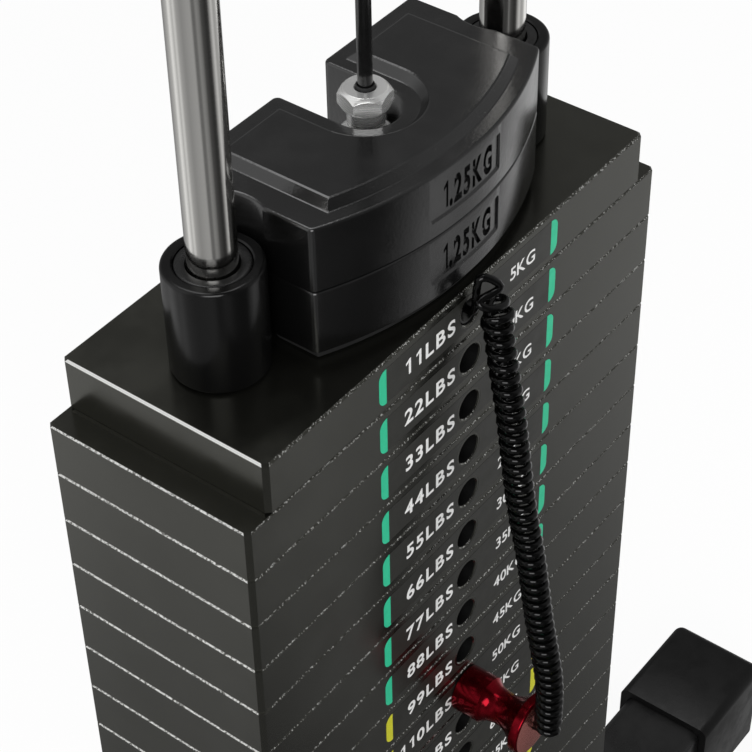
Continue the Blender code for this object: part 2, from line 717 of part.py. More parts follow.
def make_selector_stem(materials):
    """The hanging bar with a cross hole at every plate, tapped at the top for the cable bolt."""
    low = plate_level(PLATE_COUNT) + PLATE_THICKNESS / 2 - STEM_BELOW_HOLE
    thread = BOLT_RADIUS + SEAT_GAP
    thread_bottom = STEM_TOP - BOLT_ENGAGEMENT - SEAT_GAP
    chamfer = STEM_RADIUS / 8
    profile = [
        (0.0, low),
        (STEM_RADIUS - chamfer, low),
        (STEM_RADIUS, low + chamfer),
        (STEM_RADIUS, STEM_TOP - chamfer),
        (STEM_RADIUS - chamfer, STEM_TOP),
        (thread, STEM_TOP),
        (thread, thread_bottom),
        (0.0, thread_bottom),
    ]
    data = mesh_from(turned(profile, STEM_SIDES, closed=False), "selector_stem")
    stem = add_object("selector_stem", data, materials["steel"])
    drills = []
    for number in range(1, PLATE_COUNT + 1):
        reach = 2 * STEM_RADIUS
        hole = along_y(bore_shape(PIN_RADIUS + RUNNING_GAP, -reach, reach, HIDDEN_SIDES))
        middle = plate_level(number) + PLATE_THICKNESS / 2
        drills.append(moved(hole, Matrix.Translation((0.0, 0.0, middle))))
    combine(stem, joined_shapes(drills), "DIFFERENCE")
    finish_faces(stem)


def make_stem_fittings(materials):
    """The ring, the lock nut and the hollow cable bolt at the stem's top."""
    ring_bottom = HEAD_TOP + SEAT_GAP
    ring_bore = STEM_RADIUS + SEAT_GAP
    ring = tube_profile(ring_bore, ring_bore + STEM_RING_WALL, ring_bottom, ring_bottom + STEM_RING_HEIGHT)
    add_object("stem_ring", mesh_from(turned(ring, STEM_SIDES), "stem_ring"), materials["steel"])
    nut = turned_hexagon(NUT_FLATS, NUT_BOTTOM, NUT_BOTTOM + NUT_HEIGHT, BOLT_RADIUS + SEAT_GAP)
    add_object("lock_nut", mesh_from(nut, "lock_nut"), materials["chrome"])
    stud_top = BOLT_TOP - BOLT_HEAD_HEIGHT / 2
    stud = rod_shape(BOLT_RADIUS, STEM_TOP - BOLT_ENGAGEMENT, stud_top, STEM_SIDES, BOLT_CHAMFER)
    head = turned_hexagon(BOLT_HEAD_FLATS, BOLT_HEAD_BOTTOM, BOLT_TOP)
    bolt = union_of("cable_bolt", [head, stud], materials["chrome"])
    bore_bottom = BOLT_TOP - CABLE_IN_BOLT - SEAT_GAP
    mouth_low = BOLT_TOP - SLEEVE_IN_BOLT - SEAT_GAP
    above = BOLT_TOP + BOLT_HEAD_HEIGHT
    flats = math.cos(math.pi / HOLE_SIDES)
    bore = CABLE_BORE_RADIUS / flats
    mouth = (SLEEVE_RADIUS + SEAT_GAP) / flats
    stepped = [(0.0, bore_bottom), (bore, bore_bottom), (bore, mouth_low), (mouth, mouth_low)]
    stepped += [(mouth, above), (0.0, above)]
    combine(bolt, turned(stepped, HOLE_SIDES, closed=False), "DIFFERENCE")
    finish_faces(bolt)


def make_cable(materials):
    """The taut lifting cable, its sleeve at the bolt and its eye terminal above the yoke."""
    terminal_low = GUIDE_TOP + SEAT_GAP
    cable_low = BOLT_TOP - CABLE_IN_BOLT
    cable_high = terminal_low + CABLE_IN_TERMINAL
    cable = rod_shape(CABLE_RADIUS, cable_low, cable_high, HOLE_SIDES)
    add_object("lift_cable", mesh_from(cable, "lift_cable"), materials["black_cord"])
    sleeve_low = BOLT_TOP - SLEEVE_IN_BOLT
    sleeve_high = BOLT_TOP + SLEEVE_ABOVE_BOLT
    inner = CABLE_RADIUS + SEAT_GAP
    sleeve = [
        (inner, sleeve_low),
        (SLEEVE_RADIUS, sleeve_low),
        (SLEEVE_RADIUS, sleeve_high - SLEEVE_WALL / 2),
        (SLEEVE_RADIUS - SLEEVE_WALL / 2, sleeve_high),
        (inner, sleeve_high),
    ]
    data = mesh_from(turned(sleeve, HOLE_SIDES), "cable_sleeve")
    add_object("cable_sleeve", data, materials["black_rubber"])
    body_radius = CABLE_RADIUS + SEAT_GAP + TERMINAL_WALL
    body = rod_shape(body_radius, terminal_low, terminal_low + TERMINAL_LENGTH, STEM_SIDES, EYE_CHAMFER)
    eye_middle = terminal_low + TERMINAL_LENGTH + (EYE_RADIUS + EYE_HOLE_RADIUS) / 2
    eye = along_y(rod_shape(EYE_RADIUS, -EYE_THICKNESS / 2, EYE_THICKNESS / 2, MEDIUM_SIDES, EYE_CHAMFER))
    terminal = union_of(
        "cable_terminal",
        [body, moved(eye, Matrix.Translation((0.0, 0.0, eye_middle)))],
        materials["steel"],
    )
    hole = along_y(bore_shape(EYE_HOLE_RADIUS, -EYE_THICKNESS, EYE_THICKNESS))
    combine(terminal, moved(hole, Matrix.Translation((0.0, 0.0, eye_middle))), "DIFFERENCE")
    bore_top = cable_high + SEAT_GAP
    combine(terminal, bore_shape(CABLE_RADIUS + SEAT_GAP, YOKE_TOP, bore_top), "DIFFERENCE")
    finish_faces(terminal)


def corner_arc(corner, before, after, radius, steps=2):
    """Points of a fillet at a corner between two straight sides."""
    to_before = (Vector(before) - Vector(corner)).normalized()
    to_after = (Vector(after) - Vector(corner)).normalized()
    half = to_before.angle(to_after) / 2
    reach = radius / math.tan(half)
    start = Vector(corner) + to_before * reach
    end = Vector(corner) + to_after * reach
    centre = Vector(corner) + (to_before + to_after).normalized() * (radius / math.sin(half))
    points = []
    for step in range(steps + 1):
        share = step / steps
        spoke = (start - centre).lerp(end - centre, share).normalized() * radius
        points.append(tuple(centre + spoke))
    return points


def addon_outline(inset, end_inset=None):
    """Plan of an add-on weight, drawn in by the inset on every side, slot included.

    Its ends have scallops for the collars, or are straight where they have an inset of their own.
    """
    half = ROD_X - ADDON_SETBACK - (inset if end_inset is None else end_inset)
    back = ADDON_BACK - inset
    front_centre = ADDON_FRONT_RADIUS - ADDON_FRONT
    front_radius = ADDON_FRONT_RADIUS - inset
    slot = SLOT_HALF_WIDTH + inset
    outer_fillet = max(ADDON_CORNER_RADIUS - inset, ADDON_CORNER_RADIUS / 5)
    right = []
    corner_angle = math.asin(half / front_radius)
    fillet_angle = ADDON_FILLET_REACH * outer_fillet / front_radius
    for step in range(1, ADDON_OUTER_STEPS + 1):
        angle = (corner_angle - fillet_angle) * step / ADDON_OUTER_STEPS
        right.append((front_radius * math.sin(angle), front_centre - front_radius * math.cos(angle)))
    corner = (half, front_centre - front_radius * math.cos(corner_angle))
    right += corner_arc(corner, right[-1], (half, 0.0), outer_fillet)
    if end_inset is None:
        scallop_radius = COLLAR_RADIUS + ADDON_COLLAR_GAP + inset
        sweep = math.acos((ROD_X - half) / scallop_radius)
        for step in range(ADDON_SCALLOP_STEPS + 1):
            angle = -sweep + 2 * sweep * step / ADDON_SCALLOP_STEPS
            right.append((ROD_X - scallop_radius * math.cos(angle), scallop_radius * math.sin(angle)))
    right += corner_arc((half, back), (half, 0.0), (0.0, back), outer_fillet)
    right += corner_arc((slot, back), (half, back), (slot, 0.0), outer_fillet)
    for step in range(ADDON_OUTER_STEPS):
        angle = math.pi / 2 * step / ADDON_OUTER_STEPS
        right.append((slot * math.cos(angle), -slot * math.sin(angle)))
    left = [(-x, y) for x, y in reversed(right)]
    return [(0.0, front_centre - front_radius)] + right + [(0.0, -slot)] + left


def addon_panel_tool(rim_top):
    """Cutter for the shallow panel that follows the curved front."""
    centre = ADDON_FRONT_RADIUS - ADDON_FRONT
    steps = 6
    sweep = math.asin(PANEL_HALF_WIDTH / ADDON_FRONT_RADIUS)
    points = []
    for radius in (ADDON_FRONT_RADIUS - PANEL_DEPTH, ADDON_FRONT_RADIUS + 4 * PANEL_DEPTH):
        arc = []
        for step in range(steps + 1):
            angle = -sweep + 2 * sweep * step / steps
            arc.append((radius * math.sin(angle), centre - radius * math.cos(angle)))
        points += arc if not points else reversed(arc)
    high = rim_top - PANEL_TOP
    return lofted([(points, high - PANEL_HEIGHT), (points, high)])


def make_addon_weights(materials):
    """Two castings with a bowed front, a slot for the stem and a pocket that nests on the one below."""
    for index, name in enumerate(("addon_weight_lower", "addon_weight_upper")):
        bottom = ADDON_BASE + index * ADDON_PITCH
        rim_top = bottom + ADDON_THICKNESS
        levels = [
            (addon_outline(POCKET_WALL), bottom + POCKET_DEPTH),
            (addon_outline(POCKET_WALL), bottom),
            (addon_outline(ADDON_EDGE / 2), bottom),
            (addon_outline(0.0), bottom + ADDON_EDGE / 2),
            (addon_outline(0.0), rim_top - ADDON_EDGE),
            (addon_outline(ADDON_EDGE), rim_top),
        ]
        foot = addon_outline(PLATEAU_INSET, PLATEAU_END_INSET)
        brow = addon_outline(PLATEAU_INSET + PLATEAU_DRAFT, PLATEAU_END_INSET + PLATEAU_DRAFT)
        plateau = [(foot, rim_top - PLATEAU_ROOT), (foot, rim_top), (brow, rim_top + PLATEAU_HEIGHT)]
        weight = union_of(name, [lofted(levels), lofted(plateau)], materials["black_casting"])
        combine(weight, addon_panel_tool(rim_top), "DIFFERENCE")
        finish_faces(weight)


def make_addon_pad(materials):
    """Rubber pad on the head plate that the lower add-on weight rests on."""
    outline = addon_outline(PAD_INSET)
    pad = lofted([(outline, PAD_BOTTOM), (outline, PAD_BOTTOM + PAD_THICKNESS)])
    add_object("addon_pad", mesh_from(pad, "addon_pad"), materials["black_rubber"])


def pin_height():
    """Height of the selector pin's axis, in the pinned plate's hole."""
    return plate_level(PINNED_PLATE) + PLATE_THICKNESS / 2


def knob_profile():
    """Section of the knob along its axis, from its seat on the plate outwards, as (radius, distance)."""
    base = PIN_RADIUS + SEAT_GAP + KNOB_WALL
    waist_start = KNOB_BASE_LENGTH + KNOB_NECK_LENGTH
    flange_start = KNOB_LENGTH - KNOB_FLANGE_THICKNESS
    profile = [
        (base - KNOB_BEVEL / 2, SEAT_GAP),
        (base, SEAT_GAP + KNOB_BEVEL / 2),
        (base, KNOB_BASE_LENGTH - KNOB_BEVEL),
        (base - KNOB_BEVEL, KNOB_BASE_LENGTH),
    ]
    steps = 6
    for step in range(steps + 1):
        share = step / steps
        distance = waist_start + (flange_start - waist_start) * share
        if share < KNOB_WAIST_SHARE:
            end = base - 2 * KNOB_BEVEL
            reach = 1 - share / KNOB_WAIST_SHARE
        else:
            end = KNOB_FLANGE_RADIUS
            reach = (share - KNOB_WAIST_SHARE) / (1 - KNOB_WAIST_SHARE)
        profile.append((KNOB_WAIST_RADIUS + (end - KNOB_WAIST_RADIUS) * reach**2, distance))
    profile += [
        (KNOB_FLANGE_RADIUS, KNOB_LENGTH - KNOB_BEVEL),
        (KNOB_FLANGE_RADIUS - KNOB_BEVEL, KNOB_LENGTH),
    ]
    return profile


def make_selector_pin(materials):
    """The steel pin and the turned knob that its front end is fixed in."""
    tip = STEM_RADIUS + PIN_BEYOND_STEM
    rear = -FRONT + PIN_IN_KNOB
    shaft = rod_shape(PIN_RADIUS, -tip, rear, MEDIUM_SIDES, PIN_RADIUS / 5)
    place = Matrix.Translation((0.0, 0.0, pin_height()))
    add_object("pin_shaft", mesh_from(moved(along_y(shaft), place), "pin_shaft"), materials["steel"])
    shaft_hole = PIN_RADIUS + SEAT_GAP
    cord_hole = CORD_RADIUS + CORD_HOLE_GAP
    hole_end = KNOB_LENGTH - KNOB_CORD_HOLE_DEPTH
    profile = [(0.0, PIN_IN_KNOB + SEAT_GAP), (shaft_hole, PIN_IN_KNOB + SEAT_GAP), (shaft_hole, SEAT_GAP)]
    profile += knob_profile()
    profile += [(cord_hole, KNOB_LENGTH), (cord_hole, hole_end), (0.0, hole_end)]
    knob = along_y(turned(profile, ROUND_SIDES, closed=False))
    place = Matrix.Translation((0.0, FRONT, pin_height()))
    add_object("pin_knob", mesh_from(moved(knob, place), "pin_knob"), materials["red_anodised"])


def make_lanyard_ferrule(materials):
    """Bright eyelet, sunk in the head plate's front hole, that anchors the lanyard."""
    cord_hole = CORD_RADIUS + CORD_HOLE_GAP
    profile = [
        (cord_hole, -FERRULE_LENGTH),
        (FERRULE_RADIUS, -FERRULE_LENGTH),
        (FERRULE_RADIUS, -FERRULE_RECESS - FERRULE_LIP / 4),
        (FERRULE_RADIUS - FERRULE_LIP / 4, -FERRULE_RECESS),
        (FERRULE_RADIUS - FERRULE_LIP, -FERRULE_RECESS),
        (cord_hole, -FERRULE_FLARE_DEPTH),
    ]
    shape = along_y(turned(profile, MEDIUM_SIDES))
    place = Matrix.Translation((0.0, FRONT, HEAD_MIDDLE))
    add_object("lanyard_ferrule", mesh_from(moved(shape, place), "lanyard_ferrule"), materials["chrome"])


def coil_axis():
    """Route of the coil's centre line from top to bottom, by its shares of the drop and of the way out."""
    top = HEAD_MIDDLE + COIL_TOP_RISE
    face = KNOB_LENGTH + COIL_RADIUS + CORD_RADIUS + 2 * SEAT_GAP
    end = pin_height()
    drop = top - end
    route = (
        (0.0, 0.23, 0.0023),
        (0.10, 0.32, 0.0016),
        (0.22, 0.44, 0.0008),
        (0.40, 0.58, 0.0),
        (0.54, 0.72, 0.0),
        (0.69, 0.84, 0.0),
        (0.845, 0.985, 0.0),
    )
    points = [Vector((aside, FRONT - face * out, top - drop * down)) for down, out, aside in route]
    points.append(Vector((0.0, FRONT - face, end + COIL_RADIUS)))
    return points


def smooth_route(points, count):
    """Points evenly spread by their parameter on a Catmull-Rom curve through the given ones."""
    padded = [2 * points[0] - points[1]] + points + [2 * points[-1] - points[-2]]
    route = []
    spans = len(points) - 1
    for step in range(count + 1):
        place = min(step / count * spans, spans - 1e-9)
        span = int(place)
        t = place - span
        a, b, c, d = padded[span : span + 4]
        square = (2 * a - 5 * b + 4 * c - d) * t**2
        cube = (3 * b - a - 3 * c + d) * t**3
        route.append(0.5 * (2 * b + (c - a) * t + square + cube))
    return route


def point_at(route, lengths, distance):
    """The point and direction at a distance along a route."""
    index = 1
    while index < len(route) - 1 and lengths[index] < distance:
        index += 1
    before, after = route[index - 1], route[index]
    share = (distance - lengths[index - 1]) / (lengths[index] - lengths[index - 1])
    return before.lerp(after, share), (after - before).normalized()


def coil_points():
    """Every curl of the cord about the route, wider at the top and a quarter turn over at the end."""
    axis = smooth_route(coil_axis(), 4 * COIL_CURLS)
    lengths = [0.0]
    for before, after in zip(axis, axis[1:]):
        lengths.append(lengths[-1] + (after - before).length)
    total = lengths[-1]
    count = COIL_CURLS * COIL_POINTS_PER_CURL + COIL_POINTS_PER_CURL // 4
    spacing = []
    for step in range(count):
        share = step / count
        spacing.append(COIL_END_PITCH + (COIL_TOP_PITCH - COIL_END_PITCH) * (1 - share) ** 3)
    stretch = total / sum(spacing)
    points = []
    distance = 0.0
    side = Vector((1.0, 0.0, 0.0))
    for step in range(count + 1):
        centre, direction = point_at(axis, lengths, min(distance, total - 1e-6))
        out = direction.cross(side).normalized()
        angle = math.pi - 2 * math.pi * step / COIL_POINTS_PER_CURL
        widening = max(0.0, 1 - step / (COIL_MOUTH_CURLS * COIL_POINTS_PER_CURL))
        radius = COIL_RADIUS + (COIL_MOUTH_RADIUS - COIL_RADIUS) * widening
        points.append(centre + radius * (math.cos(angle) * side + math.sin(angle) * out))
        if step < count:
            distance += spacing[step] * stretch
    return points


def lanyard_route():
    """The whole centre line, with the straight ends in the ferrule and in the knob."""
    curls = coil_points()
    bore_start = FRONT + CORD_IN_FERRULE
    loop = (
        (0.0, -0.0005, 0.0),
        (-0.0008, -0.0028, 0.0042),
        (-0.0020, -0.0040, 0.0115),
        (-0.0012, -0.0046, 0.0185),
        (0.0018, -0.0070, 0.0186),
        (0.0048, -0.0106, 0.0136),
        (-0.0054, -0.0076, 0.0122),
        (-0.0045, -0.0105, 0.0095),
        (0.0015, -0.0132, 0.0072),
        (0.0072, -0.0120, 0.0059),
        (0.0082, -0.0086, 0.0054),
        (0.0048, -0.0064, 0.0050),
    )
    lead_in = [Vector((x, FRONT + y, HEAD_MIDDLE + z)) for x, y, z in loop]
    lead_in.insert(0, Vector((0.0, FRONT + FERRULE_LENGTH / 3, HEAD_MIDDLE)))
    face = FRONT - KNOB_LENGTH
    centre = pin_height()
    last = curls[-1]
    turn = 2 * CORD_RADIUS
    lead_out = [
        Vector((0.95 * turn, last.y + 0.9 * turn, last.z - 0.45 * turn)),
        Vector((0.75 * turn, last.y + 1.9 * turn, last.z - 1.05 * turn)),
        Vector((0.12 * turn, face - 1.15 * turn, centre + 0.05 * turn)),
        Vector((0.0, face - 0.35 * turn, centre)),
    ]
    start = Vector((0.0, bore_start, HEAD_MIDDLE))
    finish = Vector((0.0, face + CORD_IN_KNOB, centre))
    joined = smooth_route([start] + lead_in + curls[:2], LEAD_IN_POINTS)
    tail = smooth_route(curls[-2:] + lead_out + [finish], LEAD_OUT_POINTS)
    return joined + curls[2:-2] + tail


def least_gap(points, diameter):
    """Least clear distance between stretches of the cord that aren't neighbours along it."""
    apart = 2.5 * diameter
    lengths = [0.0]
    for before, after in zip(points, points[1:]):
        lengths.append(lengths[-1] + (after - before).length)
    least = math.inf
    for i, start in enumerate(points):
        for j in range(i + 1, len(points) - 1):
            if lengths[j] - lengths[i] < apart * 1.5:
                continue
            stretch = points[j + 1] - points[j]
            share = max(0.0, min(1.0, (start - points[j]).dot(stretch) / stretch.length_squared))
            least = min(least, (points[j] + share * stretch - start).length)
    return least - diameter


def make_lanyard(materials):
    """The coiled cord that keeps the pin with the stack, as one unbroken tube."""
    points = lanyard_route()
    curve = bpy.data.curves.new("lanyard", "CURVE")
    curve.dimensions = "3D"
    curve.bevel_depth = CORD_RADIUS
    curve.bevel_resolution = 1
    curve.use_fill_caps = True
    spline = curve.splines.new("POLY")
    spline.points.add(len(points) - 1)
    for place, point in zip(spline.points, points):
        place.co = (*point, 1.0)
    add_object("lanyard", curve, materials["black_cord"])
    print(f"lanyard: least gap to itself {least_gap(points, 2 * CORD_RADIUS) * 1000:.2f} mm")


def main():
    clear_scene()
    materials = make_materials()
    make_foot_beam(materials)
    make_foot_caps(materials)
    make_rod_seats(materials)
    make_seat_screws(materials)
    make_buffers(materials)
    make_guide_rods(materials)
    make_yoke(materials)
    make_rod_screws(materials)
    make_cable_guide(materials)
    make_plates(materials)
    make_head_plate(materials)
    make_collars(materials)
    make_selector_stem(materials)
    make_stem_fittings(materials)
    make_cable(materials)
    make_addon_pad(materials)
    make_addon_weights(materials)
    make_selector_pin(materials)
    make_lanyard_ferrule(materials)
    make_lanyard(materials)


main()
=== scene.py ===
"""Weight stack of a cable station, dressed for the studio.

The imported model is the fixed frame. Finer pieces with real finishes stand for its solids, piece by
piece and in the same places, and ride on the same bodies. Sizes are in metres.
"""

import logging
import math
from collections.abc import Callable, Sequence
from dataclasses import dataclass, field
from enum import Enum
from itertools import accumulate

import bmesh
import bpy
from mathutils import Matrix, Vector


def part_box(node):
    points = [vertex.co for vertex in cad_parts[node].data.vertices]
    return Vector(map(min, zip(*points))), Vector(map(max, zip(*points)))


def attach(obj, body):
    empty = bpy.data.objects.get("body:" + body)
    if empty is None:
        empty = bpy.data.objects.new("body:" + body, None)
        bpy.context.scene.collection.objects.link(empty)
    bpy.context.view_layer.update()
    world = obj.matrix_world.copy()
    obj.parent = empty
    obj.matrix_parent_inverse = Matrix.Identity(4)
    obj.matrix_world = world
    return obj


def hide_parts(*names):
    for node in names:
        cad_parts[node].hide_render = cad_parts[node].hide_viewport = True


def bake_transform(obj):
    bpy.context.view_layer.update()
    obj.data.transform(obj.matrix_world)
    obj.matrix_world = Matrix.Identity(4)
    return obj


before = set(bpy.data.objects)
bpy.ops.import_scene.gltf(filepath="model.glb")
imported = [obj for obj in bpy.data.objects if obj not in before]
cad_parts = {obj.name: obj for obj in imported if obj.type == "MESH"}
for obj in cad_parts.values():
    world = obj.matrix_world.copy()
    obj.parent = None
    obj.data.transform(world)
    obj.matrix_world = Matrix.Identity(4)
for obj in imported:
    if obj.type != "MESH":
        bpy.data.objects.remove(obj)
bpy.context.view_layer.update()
LOG = logging.getLogger("weight_stack")

Point2 = tuple[float, float]
Point3 = tuple[float, float, float]
Level = tuple[Sequence[Point2], float]
Form = bmesh.types.BMesh
Mesh = bpy.types.Mesh
Object = bpy.types.Object
Material = bpy.types.Material
Socket = bpy.types.NodeSocket
Group = bpy.types.NodeTree
Points = list[Point2]

FINE_SIDES = 72
SMALL_SIDES = 48
POLISHED_SIDES = 96
HEAD_SIDES = 64
CABLE_SIDES = 40
HOLE_SIDES = 32
ARC_STEPS = 8
SEAT_GAP = 0.0003
CUTTER_REACH = 0.01
SOFT_ANGLE = 32.0
DRILLED_ANGLE = 24.0
MACHINED_ANGLE = 40.0
SIDES = ("left", "right")
ENDS = ("outer", "inner")


class Body(str, Enum):
    """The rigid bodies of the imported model."""

    STAND = "stand"
    LIFTED = "lifted_stack"
    PIN = "selector_pin"
    LOWER = "lower_addon"
    UPPER = "upper_addon"


class Slot(str, Enum):
    """The record's material slots."""

    GREY_PAINT = "grey_paint"
    BLACK_PAINT = "black_paint"
    CASTING = "black_casting"
    RUBBER = "black_rubber"
    PLASTIC = "black_plastic"
    CHROME = "chrome"
    STEEL = "steel"
    RED = "red_anodised"
    CORD = "black_cord"


class Ink(Enum):
    """Printing inks of the plates' marks, as linear colours."""

    WHITE = (0.70, 0.70, 0.69)
    GREEN = (0.010, 0.450, 0.240)
    YELLOW = (0.500, 0.490, 0.006)


class Operation(str, Enum):
    """What a cutter or an added form does."""

    CUT = "DIFFERENCE"
    ADD = "UNION"
    KEEP = "INTERSECT"


class Axis(str, Enum):
    """The axis that a piece was turned or drawn about."""

    Y = "Y Marks"
    Z = "Z Marks"


def span(node: str) -> tuple[Vector, Vector]:
    """Lowest and highest corner of a node at rest."""
    low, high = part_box(node)
    return Vector(low), Vector(high)


def across(node: str) -> float:
    """Place along X of a node's middle at rest."""
    low, high = span(node)
    return (low.x + high.x) / 2


def level(node: str) -> float:
    """Height of a node's middle at rest."""
    low, high = span(node)
    return (low.z + high.z) / 2


# Outlines


def quarter(steps: int) -> Points:
    """Cosine and sine of a quarter turn in even steps."""
    angles = [math.pi / 2 * step / steps for step in range(steps + 1)]
    return [(math.cos(angle), math.sin(angle)) for angle in angles]


def circle(radius: float, sides: int = FINE_SIDES) -> Points:
    """Points of a circle about the origin."""
    angles = [2 * math.pi * step / sides for step in range(sides)]
    return [(radius * math.cos(angle), radius * math.sin(angle)) for angle in angles]


def hexagon(flats: float, turn: float = 12.0) -> Points:
    """Corners of a hexagon.

    Args:
        flats: Width across flats.
        turn: Turn in degrees.

    Returns:
        The corners.
    """
    corner = flats / math.sqrt(3)
    angles = [math.radians(60 * side + turn) for side in range(6)]
    return [(corner * math.cos(angle), corner * math.sin(angle)) for angle in angles]


def rounded_step(radius: float, low: float, high: float, edge: float, steps: int = 3) -> Points:
    """Outer side of a round bar's section, both ends rounded.

    Args:
        radius: The bar's radius.
        low: Its lower end.
        high: Its upper end.
        edge: Radius of the rounding.
        steps: Faces in each rounding.

    Returns:
        Points of (radius, height), from low to high.
    """
    if edge <= 0.0:
        return [(radius, low), (radius, high)]
    arc = quarter(steps)
    lower = [(radius - edge + edge * sine, low + edge - edge * cosine) for cosine, sine in arc]
    return lower + [(radius - edge + edge * cosine, high - edge + edge * sine) for cosine, sine in arc]


def rounded_rectangle(width: float, depth: float, radius: float, steps: int = ARC_STEPS) -> Points:
    """A rectangle about the origin with round corners.

    Args:
        width: Size along X.
        depth: Size along Y.
        radius: Radius of its corners.
        steps: Sides of each corner.

    Returns:
        Its points.
    """
    points = []
    for corner, (sign_x, sign_y) in enumerate(((1, 1), (-1, 1), (-1, -1), (1, -1))):
        centre_x = sign_x * (width / 2 - radius)
        centre_y = sign_y * (depth / 2 - radius)
        for step in range(steps + 1):
            angle = (corner + step / steps) * math.pi / 2
            points.append((centre_x + radius * math.cos(angle), centre_y + radius * math.sin(angle)))
    return points


# Meshes


def linked(name: str, data: bpy.types.ID) -> Object:
    """Put data into the scene as an object.

    Args:
        name: Its name.
        data: Its data.

    Returns:
        The object.
    """
    item = bpy.data.objects.new(name, data)
    bpy.context.scene.collection.objects.link(item)
    return item


def discard(item: Object) -> None:
    """Remove a scratch object and its data.

    Args:
        item: The object.
    """
    data = item.data
    bpy.data.objects.remove(item, do_unlink=True)
    store = bpy.data.curves if isinstance(data, bpy.types.Curve) else bpy.data.meshes
    store.remove(data)


def applied(item: Object) -> Mesh:
    """Take the finished mesh of a scratch object.

    Args:
        item: The object, which is used up.

    Returns:
        The mesh.
    """
    view = bpy.context.evaluated_depsgraph_get()
    result = bpy.data.meshes.new_from_object(item.evaluated_get(view))
    discard(item)
    return result


def as_mesh(shape: Form) -> Mesh:
    """Turn a form into mesh data, faces outwards.

    Args:
        shape: The form, which is used up.

    Returns:
        The mesh.
    """
    bmesh.ops.recalc_face_normals(shape, faces=shape.faces)
    mesh = bpy.data.meshes.new("form")
    shape.to_mesh(mesh)
    shape.free()
    return mesh


def add_mesh(shape: Form, mesh: Mesh) -> None:
    """Add mesh data to a form, which uses it up."""
    shape.from_mesh(mesh)
    bpy.data.meshes.remove(mesh)


def smoothed(mesh: Mesh, angle: float = SOFT_ANGLE) -> Mesh:
    """Shade a mesh smooth, but for sharp edges and faces of many corners.

    Args:
        mesh: The mesh.
        angle: Angle of a sharp edge, in degrees.

    Returns:
        The same mesh.
    """
    most_corners = 6
    mesh.shade_smooth()
    mesh.set_sharp_from_angle(angle=math.radians(angle))
    for face in mesh.polygons:
        if len(face.vertices) > most_corners:
            face.use_smooth = False
    return mesh


def edged(mesh: Mesh, width: float, angle: float = SOFT_ANGLE) -> Mesh:
    """Round a mesh's sharp edges with a bevel.

    Args:
        mesh: The mesh, which is used up.
        width: The bevel's width.
        angle: Angle of a sharp edge, in degrees.

    Returns:
        The new mesh.
    """
    item = linked("edged", mesh)
    bevel = item.modifiers.new("bevel", "BEVEL")
    bevel.width = width
    bevel.segments = 2
    bevel.limit_method = "ANGLE"
    bevel.angle_limit = math.radians(angle)
    bevel.use_clamp_overlap = True
    return applied(item)


def machined(mesh: Mesh, edge: float, angle: float = SOFT_ANGLE) -> Mesh:
    """Break a mesh's sharp edges and shade it smooth."""
    return smoothed(edged(mesh, edge, angle), MACHINED_ANGLE)


def combined(mesh: Mesh, tool: Form, operation: Operation, crossing: bool = False) -> Mesh:
    """Apply one Boolean to a mesh.

    Args:
        mesh: The blank, which is used up.
        tool: The other form, which is used up.
        operation: What the tool does.
        crossing: Whether the tool's own faces may cross.

    Returns:
        The new mesh.
    """
    blank, cutter = linked("blank", mesh), linked("cutter", as_mesh(tool))
    modifier = blank.modifiers.new("cut", "BOOLEAN")
    modifier.operation = operation.value
    modifier.solver = "EXACT"
    modifier.use_self = crossing
    modifier.object = cutter
    result = applied(blank)
    discard(cutter)
    return result


# Forms from rings of points


def bridge(shape: Form, lower: list, upper: list) -> None:
    """Join two rings with faces, where either may be one point.

    Args:
        shape: The form.
        lower: Vertices of one ring.
        upper: Vertices of the other.
    """
    count = max(len(lower), len(upper))
    for step in range(count):
        after = (step + 1) % count
        if len(lower) == 1:
            shape.faces.new((lower[0], upper[after], upper[step]))
        elif len(upper) == 1:
            shape.faces.new((lower[step], lower[after], upper[0]))
        else:
            shape.faces.new((lower[step], lower[after], upper[after], upper[step]))


def lathe(profile: Sequence[Point2], sides: int = FINE_SIDES, ring: bool = False) -> Form:
    """Turn a profile of (radius, height) points about Z.

    Args:
        profile: The section, from axis to axis, or round a tube's wall.
        sides: Faces round the axis.
        ring: Whether the section closes on itself.

    Returns:
        The form.
    """
    on_axis = 1e-7
    shape = bmesh.new()
    rings = []
    for radius, height in profile:
        points = circle(radius, sides) if radius >= on_axis else [(0.0, 0.0)]
        rings.append([shape.verts.new((x, y, height)) for x, y in points])
    pairs = list(zip(rings, rings[1:]))
    if ring:
        pairs.append((rings[-1], rings[0]))
    for lower, upper in pairs:
        bridge(shape, lower, upper)
    return shape


def loft(levels: Sequence[Level]) -> Form:
    """Make a solid through outlines, capped at both ends.

    Args:
        levels: Outlines and heights, from one end to the other.

    Returns:
        The form.
    """
    shape = bmesh.new()
    rings = [[shape.verts.new((x, y, height)) for x, y in points] for points, height in levels]
    for lower, upper in zip(rings, rings[1:]):
        bridge(shape, lower, upper)
    shape.faces.new(rings[0])
    shape.faces.new(rings[-1])
    return shape


def bar(radius: float, low: float, high: float, edge: float = 0.0, sides: int = FINE_SIDES) -> Form:
    """A round bar along Z with softly broken end edges."""
    return lathe([(0.0, low), *rounded_step(radius, low, high, edge), (0.0, high)], sides)


def slab(outline: Callable[[float], Points], low: float, high: float, edge: float) -> Form:
    """Make a flat solid, its edges cut off below and above.

    Args:
        outline: Gives the plan, drawn in by a length.
        low: Its lower face.
        high: Its upper face.
        edge: Width of the cut.

    Returns:
        The form.
    """
    soft, full = outline(edge), outline(0.0)
    return loft([(soft, low), (full, low + edge), (full, high - edge), (soft, high)])


def moved(shape: Form, matrix: Matrix) -> Form:
    """The same form moved by a matrix."""
    bmesh.ops.transform(shape, matrix=matrix, verts=shape.verts)
    return shape


